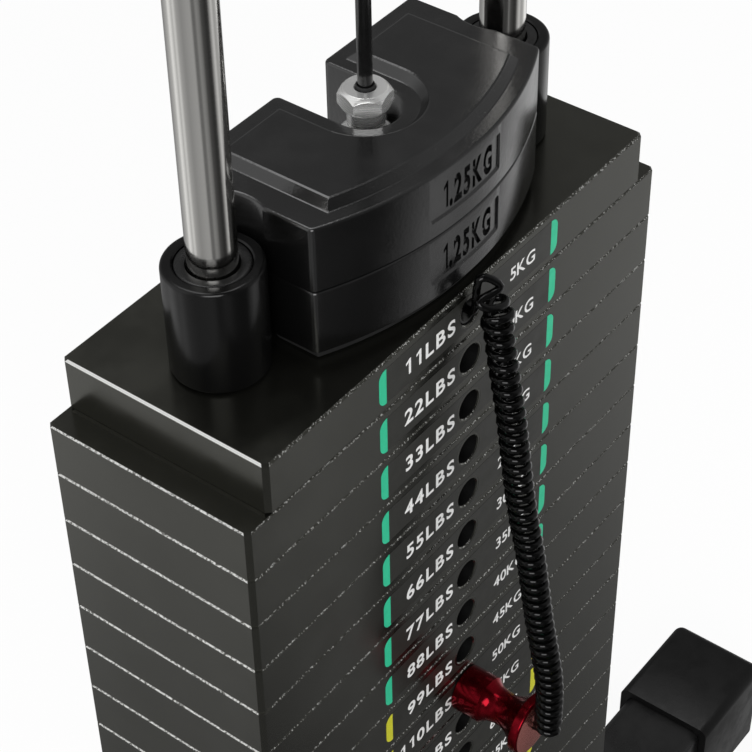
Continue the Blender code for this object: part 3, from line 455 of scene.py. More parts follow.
def shifted(shape: Form, x: float = 0.0, y: float = 0.0, z: float = 0.0) -> Form:
    """The same form moved along the axes."""
    return moved(shape, Matrix.Translation((x, y, z)))


def to_front(shape: Form, y: float = 0.0, z: float = 0.0) -> Form:
    """Turn a form made along Z so that its top end points to the front, -Y, and move it."""
    return shifted(moved(shape, Matrix.Rotation(math.radians(90), 4, "X")), 0.0, y, z)


def joined(shapes: Sequence[Form]) -> Form:
    """Bring separate forms together.

    Args:
        shapes: The forms, which are used up.

    Returns:
        The form.
    """
    whole = bmesh.new()
    for shape in shapes:
        add_mesh(whole, as_mesh(shape))
    return whole


def turned(section: Sequence[Point2], sides: int = FINE_SIDES, ring: bool = True, x: float = 0.0) -> Mesh:
    """Smooth mesh of a section turned about an upright axis."""
    return smoothed(as_mesh(shifted(lathe(section, sides, ring), x)))


def bored(mesh: Mesh, holes: Sequence[Point2], low: float, high: float, sides: int) -> Mesh:
    """Drill upright holes through a mesh.

    Args:
        mesh: The blank, which is used up.
        holes: Place along X and radius of each.
        low: Their lower end.
        high: Their upper end.
        sides: Faces round each.

    Returns:
        The mesh.
    """
    drills = [shifted(bar(radius, low, high, sides=sides), x) for x, radius in holes]
    return combined(mesh, joined(drills), Operation.CUT)


def hexagon_bar(flats: float, low: float, high: float, rings: Sequence[Point2], sides: int) -> Mesh:
    """Make a hexagon bar with its corners turned down.

    Args:
        flats: Width across flats.
        low: Its lower end.
        high: Its upper end.
        rings: Radii and heights that it is kept within.
        sides: Faces of that round form.

    Returns:
        The mesh.
    """
    corners = hexagon(flats)
    blank = as_mesh(loft([(corners, low), (corners, high)]))
    limit = loft([(circle(radius, sides), height) for radius, height in rings])
    return combined(blank, limit, Operation.KEEP)


@dataclass(frozen=True)
class HexagonScrew:
    """A hexagon screw on the Z axis, head up, with or without a washer under its head."""

    radius: float
    flats: float
    crown: float
    edge: float
    shank_edge: float
    shank_sides: int
    washer_radius: float = 0.0
    washer_thickness: float = 0.0
    washer_edge: float = 0.0006
    head_sunk: float = 0.0
    corner_share: float = 1.01
    crown_share: float = 0.84

    def build(self, low: float, seat: float, high: float) -> Mesh:
        """Make the screw.

        Args:
            low: The shank's end.
            seat: The face that it presses on.
            high: The head's top.

        Returns:
            The mesh.
        """
        corner = self.flats / math.sqrt(3)
        wide = corner * self.corner_share
        rings = [(wide, seat), (wide, high - self.crown), (corner * self.crown_share, high)]
        mesh = hexagon_bar(self.flats, seat + self.head_sunk, high, rings, HEAD_SIDES)
        shank_top = (seat + high) / 2
        if self.washer_radius:
            washer_top = seat + self.washer_thickness
            washer = bar(self.washer_radius, seat, washer_top, self.washer_edge, HEAD_SIDES)
            mesh = combined(mesh, washer, Operation.ADD)
            shank_top = seat + self.head_sunk
        shank = bar(self.radius, low, shank_top, self.shank_edge, self.shank_sides)
        return combined(mesh, shank, Operation.ADD)


def flat_form(outlines: Sequence[Sequence[Point2]], thickness: float) -> Mesh:
    """Make a thin flat form in X and Y.

    Args:
        outlines: Its outline, then those of its holes.
        thickness: Its thickness.

    Returns:
        The mesh.
    """
    curve = bpy.data.curves.new("flat", "CURVE")
    curve.dimensions = "2D"
    curve.fill_mode = "BOTH"
    curve.extrude = thickness / 2
    for outline in outlines:
        spline = curve.splines.new("POLY")
        spline.points.add(len(outline) - 1)
        for place, (x, y) in zip(spline.points, outline):
            place.co = (x, y, 0.0, 1.0)
        spline.use_cyclic_u = True
    return applied(linked("flat", curve))


@dataclass
class Lettering:
    """Words set letter by letter in one weight, flat in X and Y, with a flagged figure one.

    The growth, the gaps, the figures' width and the figure one are shares of the type size.
    """

    thickness: float
    size: float
    width: float
    end: float
    growth: float = 0.022
    gap: float = 0.12
    figure_gap: float = 0.12
    figure_width: float = 0.0
    one: tuple[Point2, ...] = (
        (0.17, 0.0), (0.29, 0.0), (0.29, 0.73), (0.22, 0.73), (0.02, 0.60), (0.02, 0.49), (0.17, 0.575),
    )
    glyphs: dict[str, Mesh] = field(default_factory=dict)

    def glyph(self, letter: str) -> Mesh:
        """One letter at a type size of 1, its left side at zero.

        Args:
            letter: The letter.

        Returns:
            Its mesh.
        """
        if letter in self.glyphs:
            return self.glyphs[letter]
        if letter == "1":
            mesh = flat_form([self.one], self.thickness)
        else:
            text = bpy.data.curves.new("letter", "FONT")
            text.body = letter
            text.extrude = self.thickness / 2
            text.offset = self.growth
            mesh = applied(linked("letter", text))
        left = min(vert.co.x for vert in mesh.vertices)
        mesh.transform(Matrix.Translation((-left, 0.0, 0.0)))
        self.glyphs[letter] = mesh
        return mesh

    def words(self, words: str) -> Form:
        """Set words so that they end at their place along X, centred on their height.

        Args:
            words: What is written.

        Returns:
            The words' form.
        """
        whole = bmesh.new()
        rise = -max(vert.co.y for vert in self.glyph("K").vertices) * self.size / 2
        wide = self.size * self.width
        place = self.end
        for index, letter in reversed(list(enumerate(words))):
            if letter == " ":
                place -= self.gap * wide
                continue
            mesh = self.glyph(letter).copy()
            letter_wide = max(vert.co.x for vert in mesh.vertices)
            figure = letter.isdigit()
            spare = max(0.0, self.figure_width - letter_wide) / 2 * wide if figure else 0.0
            place -= letter_wide * wide + spare
            scale = Matrix.Diagonal((wide, self.size, 1.0, 1.0))
            mesh.transform(Matrix.Translation((place, rise, 0.0)) @ scale)
            add_mesh(whole, mesh)
            gap = self.figure_gap if figure and words[:index][-1:].isdigit() else self.gap
            place -= gap * wide + spare
        return whole


# Finishes


class Tree:
    """Short hand for placing and linking nodes in one tree."""

    def __init__(self, nodes: bpy.types.Nodes, links: bpy.types.NodeLinks) -> None:
        """Keep the tree's nodes and links."""
        self.nodes = nodes
        self.links = links

    def add(self, kind: str, inputs: dict | None = None, **settings: object) -> bpy.types.Node:
        """Place a node.

        Args:
            kind: Its type.
            inputs: Values or sockets for its inputs, by name or index.
            settings: Its own properties.

        Returns:
            The node.
        """
        node = self.nodes.new(kind)
        for name, value in settings.items():
            setattr(node, name, value)
        for key, value in (inputs or {}).items():
            self.fill(node.inputs[key], value)
        return node

    def fill(self, socket: Socket, value: object) -> None:
        """Set or link an input.

        Args:
            socket: The input.
            value: A plain value or an output socket.
        """
        if isinstance(value, Socket):
            self.links.new(value, socket)
        else:
            socket.default_value = value

    def maths(self, operation: str, *values: object) -> Socket:
        """The result of one Math node."""
        return self.add("ShaderNodeMath", dict(enumerate(values)), operation=operation).outputs[0]

    def parts(self, vector: Socket) -> Sequence[Socket]:
        """The X, Y and Z parts of a vector."""
        return self.add("ShaderNodeSeparateXYZ", {0: vector}).outputs

    def grey(self, value: Socket) -> Socket:
        """A value as a neutral colour."""
        return self.add("ShaderNodeCombineColor", {0: value, 1: value, 2: value}).outputs[0]

    def remap(self, value: Socket, source: Point2, target: tuple, kind: str = "SMOOTHSTEP") -> Socket:
        """Move a value from one range into another.

        Args:
            value: The value.
            source: The range that it comes from.
            target: The range that it goes to.
            kind: The interpolation.

        Returns:
            The moved value.
        """
        inputs = {"Value": value, "From Min": source[0], "From Max": source[1]}
        inputs |= {"To Min": target[0], "To Max": target[1]}
        return self.add("ShaderNodeMapRange", inputs, interpolation_type=kind).outputs["Result"]

    def multiplied(self, first: object, second: object) -> Socket:
        """The product of two colours."""
        colors = {0: 1.0, 6: first, 7: second}
        return self.add("ShaderNodeMix", colors, data_type="RGBA", blend_type="MULTIPLY").outputs[2]

    def mixed(self, mask: Socket, below: object, above: object) -> Socket:
        """One of two colours, chosen by a mask."""
        return self.add("ShaderNodeMix", {0: mask, 6: below, 7: above}, data_type="RGBA").outputs[2]

    def bands(self, x: Socket, y: Socket, stops: Sequence[Point2]) -> Socket:
        """Grey bands round the object.

        Args:
            x: The direction's part along X.
            y: Its part along Y.
            stops: Directions in degrees, rising from -180, and their grey values.

        Returns:
            Their colour.
        """
        turn = self.maths("ARCTAN2", y, x)
        share = self.remap(turn, (-math.pi, math.pi), (0.0, 1.0), "LINEAR")
        node = self.add("ShaderNodeValToRGB", {0: share})
        elements = node.color_ramp.elements
        elements.remove(elements[-1])
        for index, (direction, value) in enumerate(stops):
            place = (direction + 180) / 360
            element = elements.new(place) if index else elements[0]
            element.position = place
            element.color = (value, value, value, 1.0)
        return node.outputs["Color"]


class Effect(Tree):
    """A shader node group with named inputs and outputs, built once and shared."""

    def __init__(self, name: str, inputs: dict[str, float], outputs: Sequence[str]) -> None:
        """Make the empty group.

        Args:
            name: Its name.
            inputs: Its inputs with their default values.
            outputs: Its outputs.
        """
        self.group = bpy.data.node_groups.new(name, "ShaderNodeTree")
        super().__init__(self.group.nodes, self.group.links)
        sockets = self.group.interface
        kind = "NodeSocketFloat"
        for label, value in inputs.items():
            sockets.new_socket(name=label, in_out="INPUT", socket_type=kind).default_value = value
        for label in outputs:
            sockets.new_socket(name=label, in_out="OUTPUT", socket_type=kind)
        self.source = self.nodes.new("NodeGroupInput").outputs
        self.target = self.nodes.new("NodeGroupOutput").inputs

    def noise(self, scale: object, detail: float, roughness: float = 0.5) -> Socket:
        """Noise in the piece's own coordinates.

        Args:
            scale: Its scale.
            detail: Its finer layers.
            roughness: Their strength.

        Returns:
            The noise.
        """
        where = self.add("ShaderNodeTexCoord").outputs["Object"]
        inputs = {"Vector": where, "Scale": scale, "Detail": detail, "Roughness": roughness}
        return self.add("ShaderNodeTexNoise", inputs).outputs[0]


def grain_effect() -> Group:
    """Fine unevenness of paint and mouldings, as a height and a shade.

    Returns:
        The node group.
    """
    inputs = {"Scale": 900.0, "Patch Scale": 30.0, "Patch Depth": 0.15}
    effect = Effect("fine_grain", inputs, ["Height", "Shade"])
    fine = effect.noise(effect.source["Scale"], 3.0)
    patches = effect.noise(effect.source["Patch Scale"], 4.0, 0.6)
    centred = effect.maths("SUBTRACT", patches, 0.5)
    shade = effect.maths("MULTIPLY_ADD", centred, effect.source["Patch Depth"], 1.0)
    effect.links.new(fine, effect.target["Height"])
    effect.links.new(shade, effect.target["Shade"])
    return effect.group


def edge_wear_effect() -> Group:
    """Mask of the chamfers where bare metal shows, broken up by noise.

    Returns:
        The node group.
    """
    slope_range = (0.28, 0.45)
    mask_range = (-0.02, 0.10)
    inputs = {"Amount": 0.5, "Scale": 1300.0, "Ends": 1.0, "Sides": 1.0}
    effect = Effect("edge_wear", inputs, ["Mask"])
    normal = effect.add("ShaderNodeNewGeometry").outputs["Normal"]
    x, y, z = (effect.maths("ABSOLUTE", part) for part in effect.parts(normal))
    shares = []
    for label, flat in {"Ends": x, "Sides": y}.items():
        slope = effect.remap(effect.maths("MULTIPLY", flat, z), slope_range, (0.0, 1.0))
        shares.append(effect.maths("MULTIPLY", slope, effect.source[label]))
    reach = effect.maths("MULTIPLY", effect.maths("MAXIMUM", *shares), effect.source["Amount"])
    speckle = effect.noise(effect.source["Scale"], 5.0, 0.65)
    above = effect.maths("SUBTRACT", effect.maths("ADD", speckle, reach), 1.0)
    effect.links.new(effect.remap(above, mask_range, (0.0, 1.0)), effect.target["Mask"])
    return effect.group


def streak_effect() -> Group:
    """Fine marks of turning or drawing, which run round an axis.

    Returns:
        The node group.
    """
    inputs = {"Across": 900.0, "Along": 12.0}
    effect = Effect("tool_marks", inputs, [axis.value for axis in (Axis.Z, Axis.Y)])
    x, y, z = effect.parts(effect.add("ShaderNodeTexCoord").outputs["Object"])
    for axis, (first, second, along) in {Axis.Z: (x, y, z), Axis.Y: (x, z, y)}.items():
        scaled = [effect.maths("MULTIPLY", part, effect.source["Along"]) for part in (first, second)]
        deep = effect.maths("MULTIPLY", along, effect.source["Across"])
        place = effect.add("ShaderNodeCombineXYZ", {0: scaled[0], 1: scaled[1], 2: deep}).outputs[0]
        noise = effect.add("ShaderNodeTexNoise", {"Vector": place, "Scale": 1.0, "Detail": 2.0})
        effect.links.new(noise.outputs[0], effect.target[axis.value])
    return effect.group


def smudge_effect() -> Group:
    """Slow variation of gloss, between two roughness values.

    Returns:
        The node group.
    """
    effect = Effect("smudges", {"Scale": 25.0, "Low": 0.3, "High": 0.4}, ["Roughness"])
    noise = effect.noise(effect.source["Scale"], 5.0, 0.6)
    result = effect.remap(noise, (0.35, 0.65), (effect.source["Low"], effect.source["High"]))
    effect.links.new(result, effect.target["Roughness"])
    return effect.group


@dataclass
class Effects:
    """The shared node groups, built once."""

    grain: Group = field(default_factory=grain_effect)
    wear: Group = field(default_factory=edge_wear_effect)
    marks: Group = field(default_factory=streak_effect)
    smudges: Group = field(default_factory=smudge_effect)


class Finish(Tree):
    """A material under construction, with its Principled shader."""

    def __init__(self, name: str) -> None:
        """Make the material and find its shader.

        Args:
            name: The material's name.
        """
        self.material = bpy.data.materials.new(name)
        self.material.use_nodes = True
        super().__init__(self.material.node_tree.nodes, self.material.node_tree.links)
        self.shader = self.nodes["Principled BSDF"]

    def use(self, group: Group, **inputs: float) -> dict[str, Socket]:
        """Place a shared effect.

        Args:
            group: Its node group.
            inputs: Its values, with underscores for blanks.

        Returns:
            Its outputs by name.
        """
        node = self.nodes.new("ShaderNodeGroup")
        node.node_tree = group
        for name, value in inputs.items():
            node.inputs[name.replace("_", " ")].default_value = value
        return {socket.name: socket for socket in node.outputs}

    def shaded(self, color: Point3, shade: Socket) -> Socket:
        """A colour made lighter and darker by a shade about 1."""
        return self.multiplied((*color, 1.0), self.grey(shade))

    def bump(self, height: Socket, strength: float, distance: float) -> None:
        """Feed a height into the shader's normal."""
        node = self.add("ShaderNodeBump", {"Height": height, "Strength": strength, "Distance": distance})
        self.links.new(node.outputs[0], self.shader.inputs["Normal"])

    def set(self, name: str, value: object) -> None:
        """Set or link one of the shader's sockets."""
        self.fill(self.shader.inputs[name], value)


def neutral(value: float) -> Point3:
    """A linear colour without a hue."""
    return (value, value, value)


PLATE_BLACK = (0.005, 0.005, 0.0042)
WARM = (1.0, 1.0, 0.86)
WHITE = (1.0, 1.0, 1.0, 1.0)
BLACK = (0.0, 0.0, 0.0, 1.0)


@dataclass(frozen=True)
class Moulding:
    """Moulded plastic, rubber or a cord's cover."""

    name: str
    color: Point3
    roughness: Point2
    grain: float = 600.0
    bump: float = 0.12
    patch_depth: float = 0.12
    coat: float = 0.0
    specular: float = 0.5
    patch_scale: float = 55.0
    smudge_scale: float = 80.0
    bump_distance: float = 0.0003

    def dressed(self, effects: Effects) -> tuple[Finish, Socket, Socket]:
        """Make the material with its grain and smudges.

        Args:
            effects: The shared effects.

        Returns:
            The finish, its colour and its roughness.
        """
        finish = Finish(self.name)
        patches = {"Patch_Scale": self.patch_scale, "Patch_Depth": self.patch_depth}
        grain = finish.use(effects.grain, Scale=self.grain, **patches)
        low, high = self.roughness
        gloss = finish.use(effects.smudges, Scale=self.smudge_scale, Low=low, High=high)["Roughness"]
        color = finish.shaded(self.color, grain["Shade"])
        finish.set("Base Color", color)
        finish.set("Roughness", gloss)
        finish.set("Coat Weight", self.coat)
        finish.set("Specular IOR Level", self.specular)
        finish.bump(grain["Height"], self.bump, self.bump_distance)
        return finish, color, gloss

    def build(self, effects: Effects) -> Material:
        """Make the material."""
        return self.dressed(effects)[0].material


@dataclass(frozen=True)
class Print(Moulding):
    """Screen printed ink with slightly thin patches."""

    roughness: Point2 = (0.34, 0.5)
    grain: float = 1500.0
    bump: float = 0.08
    patch_depth: float = 0.22
    patch_scale: float = 260.0
    smudge_scale: float = 120.0
    bump_distance: float = 0.0002


@dataclass(frozen=True)
class Paint(Moulding):
    """Paint on steel or iron, thin on the edges."""

    grain: float = 900.0
    bump: float = 0.10
    patch_depth: float = 0.18
    patch_scale: float = 38.0
    smudge_scale: float = 45.0
    bump_distance: float = 0.0004
    wear: float = 0.5
    ends: float = 1.0
    sides: float = 0.8
    tint: Point3 = neutral(1.0)
    metal: Point3 = (0.88, 0.88, 0.86)
    metal_roughness: float = 0.42

    def build(self, effects: Effects) -> Material:
        """Make the material, with bare metal where the paint is worn off.

        Args:
            effects: The shared effects.

        Returns:
            The material.
        """
        finish, color, gloss = self.dressed(effects)
        worn = finish.use(effects.wear, Amount=self.wear, Ends=self.ends, Sides=self.sides)["Mask"]
        finish.set("Base Color", finish.mixed(worn, color, (*self.metal, 1.0)))
        values = {0: worn, 2: gloss, 3: self.metal_roughness}
        finish.set("Roughness", finish.add("ShaderNodeMix", values, data_type="FLOAT").outputs[0])
        finish.set("Metallic", worn)
        finish.set("Specular Tint", (*self.tint, 1.0))
        return finish.material


@dataclass(frozen=True)
class Metal:
    """Bare, plated or anodised metal with tool marks, and with a painted reflection, a paler colour on its
    front face, where it has one.
    """

    name: str
    color: Point3
    roughness: Point2
    across: float = 900.0
    along: float = 12.0
    axis: Axis = Axis.Z
    bump: float = 0.05
    patch_depth: float = 0.06
    metallic: float = 1.0
    # Colour of faces that look to the front, -Y: a painted reflection of the white floor.
    front: Point3 | None = None
    grain: float = 300.0
    patch_scale: float = 20.0
    bump_distance: float = 0.0002

    def build(self, effects: Effects) -> Material:
        """Make the material.

        Args:
            effects: The shared effects.

        Returns:
            The material.
        """
        facing, marks_range = (0.93, 0.99), (0.3, 0.7)
        finish = Finish(self.name)
        patches = {"Patch_Scale": self.patch_scale, "Patch_Depth": self.patch_depth}
        grain = finish.use(effects.grain, Scale=self.grain, **patches)
        marks = finish.use(effects.marks, Across=self.across, Along=self.along)[self.axis.value]
        color = finish.shaded(self.color, grain["Shade"])
        # Painted reflection: faces that look to the front get the paler front colour in place of the floor
        # that they mirror.
        if self.front:
            normal = finish.add("ShaderNodeNewGeometry").outputs["Normal"]
            painted_reflection_mask = finish.maths("MULTIPLY", finish.parts(normal)[1], -1.0)
            painted_reflection_mask = finish.remap(painted_reflection_mask, facing, (0.0, 1.0))
            color = finish.mixed(painted_reflection_mask, color, (*self.front, 1.0))
        finish.set("Base Color", color)
        finish.set("Roughness", finish.remap(marks, marks_range, self.roughness))
        finish.set("Metallic", self.metallic)
        finish.bump(marks, self.bump, self.bump_distance)
        return finish.material


@dataclass
class Palette:
    """Every finish of the stack, built once."""

    effects: Effects = field(default_factory=Effects)

    def __post_init__(self) -> None:
        """Build the materials."""
        made = [*self.paints(), *self.metals(), *self.mouldings()]
        made += [Print(f"{ink.name.lower()}_ink", ink.value) for ink in Ink]
        self.materials = {finish.name: finish.build(self.effects) for finish in made}

    def paints(self) -> list[Paint]:
        """The paints, from the plates to the bores, and the castings' thick black.

        Returns:
            The finishes.
        """
        black = neutral(0.003)
        plate = {"bump": 0.05, "specular": 1.0, "tint": WARM}
        casting = {"grain": 700.0, "bump": 0.14, "patch_depth": 0.22, "metal": (0.22, 0.22, 0.21)}
        return [
            Paint("plate_paint", PLATE_BLACK, (0.17, 0.25), wear=0.57, sides=0.79, **plate),
            Paint("head_paint", PLATE_BLACK, (0.17, 0.25), wear=0.80, sides=0.55, **plate),
            Paint("beam_paint", neutral(0.006), (0.26, 0.38), wear=0.34),
            Paint("collar_paint", black, (0.17, 0.24), bump=0.03, wear=0.0, specular=0.36),
            Paint("casting_paint", black, (0.18, 0.26), wear=0.42, ends=0.5, specular=1.0, **casting),
            Paint("bore_oxide", black, (0.60, 0.75), wear=0.0, specular=0.2),
        ]

    def metals(self) -> list[Metal]:
        """The rods' chrome, zinc, steels and the knob's anodised skin.

        Returns:
            The finishes.
        """
        red = (0.19, 0.002, 0.008)
        # The knob's pink front is a painted reflection of the white floor in its end face.
        reflected_pink = (0.62, 0.20, 0.17)
        return [
            Metal("rod_chrome", (0.78, 0.77, 0.74), (0.10, 0.17), 2600.0, 3.0, Axis.Z, 0.04),
            Metal("bright_zinc", (0.88, 0.88, 0.87), (0.20, 0.34), 1400.0, 30.0, Axis.Z, 0.08, 0.10, 0.80),
            Metal("drawn_steel", (0.40, 0.40, 0.39), (0.24, 0.38), 1100.0, 18.0, Axis.Z, 0.10, 0.14),
            Metal("pin_steel", (0.62, 0.62, 0.61), (0.18, 0.30), 1500.0, 20.0, Axis.Y, 0.08, 0.10),
            Metal("eyelet_steel", (0.07, 0.07, 0.068), (0.22, 0.34), 1200.0, 20.0, Axis.Y, 0.06, 0.12),
            Metal("red_anodising", red, (0.12, 0.22), 2200.0, 6.0, Axis.Y, 0.08, 0.10, 0.92, reflected_pink),
        ]

    def mouldings(self) -> list[Moulding]:
        """The film under the marks, the plastics, the rubber and the covers of cord and cable.

        Returns:
            The finishes.
        """
        return [
            Moulding("decal_film", (0.016, 0.016, 0.013), (0.34, 0.44), 1200.0, 0.05, 0.10),
            Moulding("cap_plastic", neutral(0.004), (0.30, 0.42), 420.0, 0.22, specular=0.28),
            Moulding("bush_plastic", neutral(0.010), (0.24, 0.34), 700.0, 0.08),
            Moulding("buffer_rubber", neutral(0.012), (0.62, 0.80), 380.0, 0.30, 0.25),
            Moulding("cord_cover", neutral(0.0014), (0.06, 0.10), 900.0, 0.04, 0.10, specular=0.32),
            Moulding("cable_cover", neutral(0.005), (0.16, 0.26), 900.0, 0.05, 0.10, 0.3),
        ]

    def __getitem__(self, name: str) -> Material:
        """A material by its name."""
        return self.materials[name]


# Pieces


@dataclass
class SubAssembly:
    """What every sub-assembly shares: its finishes and the way a piece is placed."""

    palette: Palette

    def place(
        self, name: str, mesh: Mesh, finish: str | Sequence[str], body: Body, slot: Slot, node: str = ""
    ) -> Object:
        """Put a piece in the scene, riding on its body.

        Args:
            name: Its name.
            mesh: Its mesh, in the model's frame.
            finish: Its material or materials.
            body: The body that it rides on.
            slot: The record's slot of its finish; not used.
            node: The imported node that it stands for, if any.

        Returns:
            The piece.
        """
        piece = linked(name, mesh)
        for entry in [finish] if isinstance(finish, str) else finish:
            mesh.materials.append(self.palette[entry])
        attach(piece, body.value)
        if node:
            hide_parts(node)
        LOG.info("placed %s", name)
        return piece

    def fix(self, name: str, screw: HexagonScrew, seat: float, node: str) -> None:
        """Put one screw of the stand in its place.

        Args:
            name: The piece's name.
            screw: The kind of screw.
            seat: Height of the face that it presses on.
            node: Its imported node.
        """
        low, high = span(node)
        mesh = screw.build(low.z, seat, high.z)
        mesh.transform(Matrix.Translation((across(node), 0.0, 0.0)))
        self.place(name, machined(mesh, screw.edge), "bright_zinc", Body.STAND, Slot.STEEL, node)

    def build(self) -> None:
        """Make every piece of the sub-assembly."""
        raise NotImplementedError


INK_THICKNESS = 0.00003


def pounds_type() -> Lettering:
    """The upright figures in pounds."""
    return Lettering(INK_THICKNESS, 0.0106, 1.10, -0.0102, gap=0.14, figure_gap=0.09, figure_width=0.48)


def kilograms_type() -> Lettering:
    """The smaller figures in kilograms."""
    gaps = {"gap": 0.07, "figure_gap": 0.07, "figure_width": 0.44}
    return Lettering(INK_THICKNESS, 0.0090, 1.06, 0.0448, growth=0.012, **gaps)


@dataclass
class PlateStack(SubAssembly):
    """The drilled weight plates and the shorter head plate, with their printed marks."""

    count: int = 19
    pinned: int = 9
    last_green: int = 7
    pounds_step: int = 11
    kilograms_step: int = 5
    edge: float = 0.00062
    head_edge: float = 0.0009
    corner: float = 0.002
    rod_x: float = 0.091
    rod_hole: float = 0.0125
    stem_hole: float = 0.0118
    head_stem_hole: float = 0.0113
    pin_hole: float = 0.0065
    pin_hole_depth: float = 0.076
    ferrule_hole: float = 0.0066
    ferrule_depth: float = 0.0143
    hole_edge: float = 0.0005
    film_thickness: float = 0.00004
    film_half_height: float = 0.00875
    film_x: Point2 = (-0.0593, 0.0609)
    film_radius: float = 0.0042
    bar_width: float = 0.0046
    text_drop: float = 0.0004
    weld_distance: float = 1e-7
    pounds: Lettering = field(default_factory=pounds_type)
    kilograms: Lettering = field(default_factory=kilograms_type)

    def outline(self, half: Vector, inset: float) -> Points:
        """Plan of a plate with its corners cut off.

        Args:
            half: Half the plate's size.
            inset: How far it is drawn in.

        Returns:
            Its points.
        """
        x, y, c = half.x - inset, half.y - inset, self.corner
        right = [(x, -y + c), (x, y - c), (x - c, y)]
        left = [(-x + c, y), (-x, y - c), (-x, -y + c)]
        return [*right, *left, (-x + c, -y), (x - c, -y)]

    def drilled(self, node: str, edge: float, stem_hole: float, front_hole: Point2) -> Mesh:
        """Make a plate with its holes, in its own place.

        Args:
            node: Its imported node.
            edge: Width of its chamfers.
            stem_hole: Radius of the hole for the stem.
            front_hole: Radius and depth of the front's hole.

        Returns:
            The mesh.
        """
        low, high = span(node)
        half = (high - low) / 2
        blank = as_mesh(slab(lambda inset: self.outline(half, inset), low.z, high.z, edge))
        radius, depth = front_hole
        mouth = self.hole_edge
        profile = [(0.0, -depth), (radius, -depth), (radius, -mouth), (radius + 2 * mouth, mouth)]
        drill = lathe([*profile, (0.0, mouth)], SMALL_SIDES)
        blank = combined(blank, to_front(drill, low.y, level(node)), Operation.CUT)
        bores = [(0.0, stem_hole), (-self.rod_x, self.rod_hole), (self.rod_x, self.rod_hole)]
        blank = bored(blank, bores, low.z - half.z, high.z + half.z, SMALL_SIDES)
        for face in smoothed(blank, DRILLED_ANGLE).polygons:
            inward = Vector((face.center.x, face.center.z - level(node))).length < radius
            face.material_index = 1 if inward and face.center.y > low.y + mouth else 0
        return blank

    def film_outline(self) -> Points:
        """Outline of the printed film.

        Returns:
            Its points.
        """
        left, right = self.film_x
        points = rounded_rectangle(right - left, 2 * self.film_half_height, self.film_radius)
        return [(x + (left + right) / 2, y) for x, y in points]

    def bar_outline(self, left: bool) -> Points:
        """Outline of a coloured bar, the film's end up to a straight side.

        Args:
            left: Whether it is the left one.

        Returns:
            Its points.
        """
        limit = self.film_x[0] + self.bar_width if left else self.film_x[1] - self.bar_width
        kept = [p for p in self.film_outline() if (p[0] < limit if left else p[0] > limit)]
        rise = self.film_half_height
        if left:
            return [(limit, rise), *kept, (limit, -rise)]
        split = next(i for i, p in enumerate(kept) if p[1] < 0)
        return [*kept[split:], *kept[:split], (limit, rise), (limit, -rise)]

    def upright(self, shape: Form, height: float, front: float) -> Mesh:
        """Stand a flat form up against the front.

        Args:
            shape: The form, which is used up.
            height: Its middle.
            front: The front along Y.

        Returns:
            The mesh.
        """
        bmesh.ops.remove_doubles(shape, verts=shape.verts, dist=self.weld_distance)
        turn = Matrix.Rotation(math.radians(90), 4, "X")
        return as_mesh(moved(shape, Matrix.Translation((0.0, front, height)) @ turn))

    def marks(self, number: int, height: float, front: float) -> Mesh:
        """Words and colour bars of a plate, one mesh with two materials.

        Args:
            number: The plate's number, from 0 at the top.
            height: Its middle.
            front: Its front along Y.

        Returns:
            The mesh.
        """
        left = self.pounds.words(f"{self.pounds_step * (number + 1)}LBS")
        right = self.kilograms.words(f"{self.kilograms_step * (number + 1)}KG")
        whole = shifted(joined([left, right]), 0.0, -self.text_drop)
        letters = len(whole.faces)
        for side in (True, False):
            add_mesh(whole, flat_form([self.bar_outline(side)], INK_THICKNESS))
        for index, face in enumerate(whole.faces):
            face.material_index = 0 if index < letters else 1
        return self.upright(whole, height, front - self.film_thickness - INK_THICKNESS)

    def dress(self, name: str, number: int, node: str, body: Body) -> None:
        """Add the film and the marks of a plate.

        Args:
            name: Start of their names.
            number: The plate's number, from 0 at the top.
            node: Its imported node.
            body: The body that it rides on.
        """
        height, front = level(node), span(node)[0].y
        hole = circle(self.pin_hole + 3 * self.hole_edge, SMALL_SIDES)
        shape = bmesh.new()
        add_mesh(shape, flat_form([self.film_outline(), hole], self.film_thickness))
        film = self.upright(shape, height, front - self.film_thickness)
        self.place(f"{name}_film", film, "decal_film", body, Slot.GREY_PAINT)
        inks = ["white_ink", "green_ink" if number <= self.last_green else "yellow_ink"]
        self.place(f"{name}_marks", self.marks(number, height, front), inks, body, Slot.GREY_PAINT)

    def build(self) -> None:
        """Make the plates and their marks."""
        grey = Slot.GREY_PAINT
        ferrule = (self.ferrule_hole, self.ferrule_depth)
        head = self.drilled("head_plate", self.head_edge, self.head_stem_hole, ferrule)
        self.place("head_plate_painted", head, ["head_paint", "bore_oxide"], Body.LIFTED, grey, "head_plate")
        self.dress("head_plate", 0, "head_plate", Body.LIFTED)
        pin = (self.pin_hole, self.pin_hole_depth)
        first = self.drilled("weight_plate_01", self.edge, self.stem_hole, pin)
        top = span("weight_plate_01")[0].z
        for number in range(1, self.count + 1):
            name, node = f"plate_{number:02d}", f"weight_plate_{number:02d}"
            body = Body.LIFTED if number <= self.pinned else Body.STAND
            mesh = first.copy()
            mesh.transform(Matrix.Translation((0.0, 0.0, span(node)[0].z - top)))
            self.place(f"{name}_painted", mesh, ["plate_paint", "bore_oxide"], body, grey, node)
            self.dress(name, number, node, body)


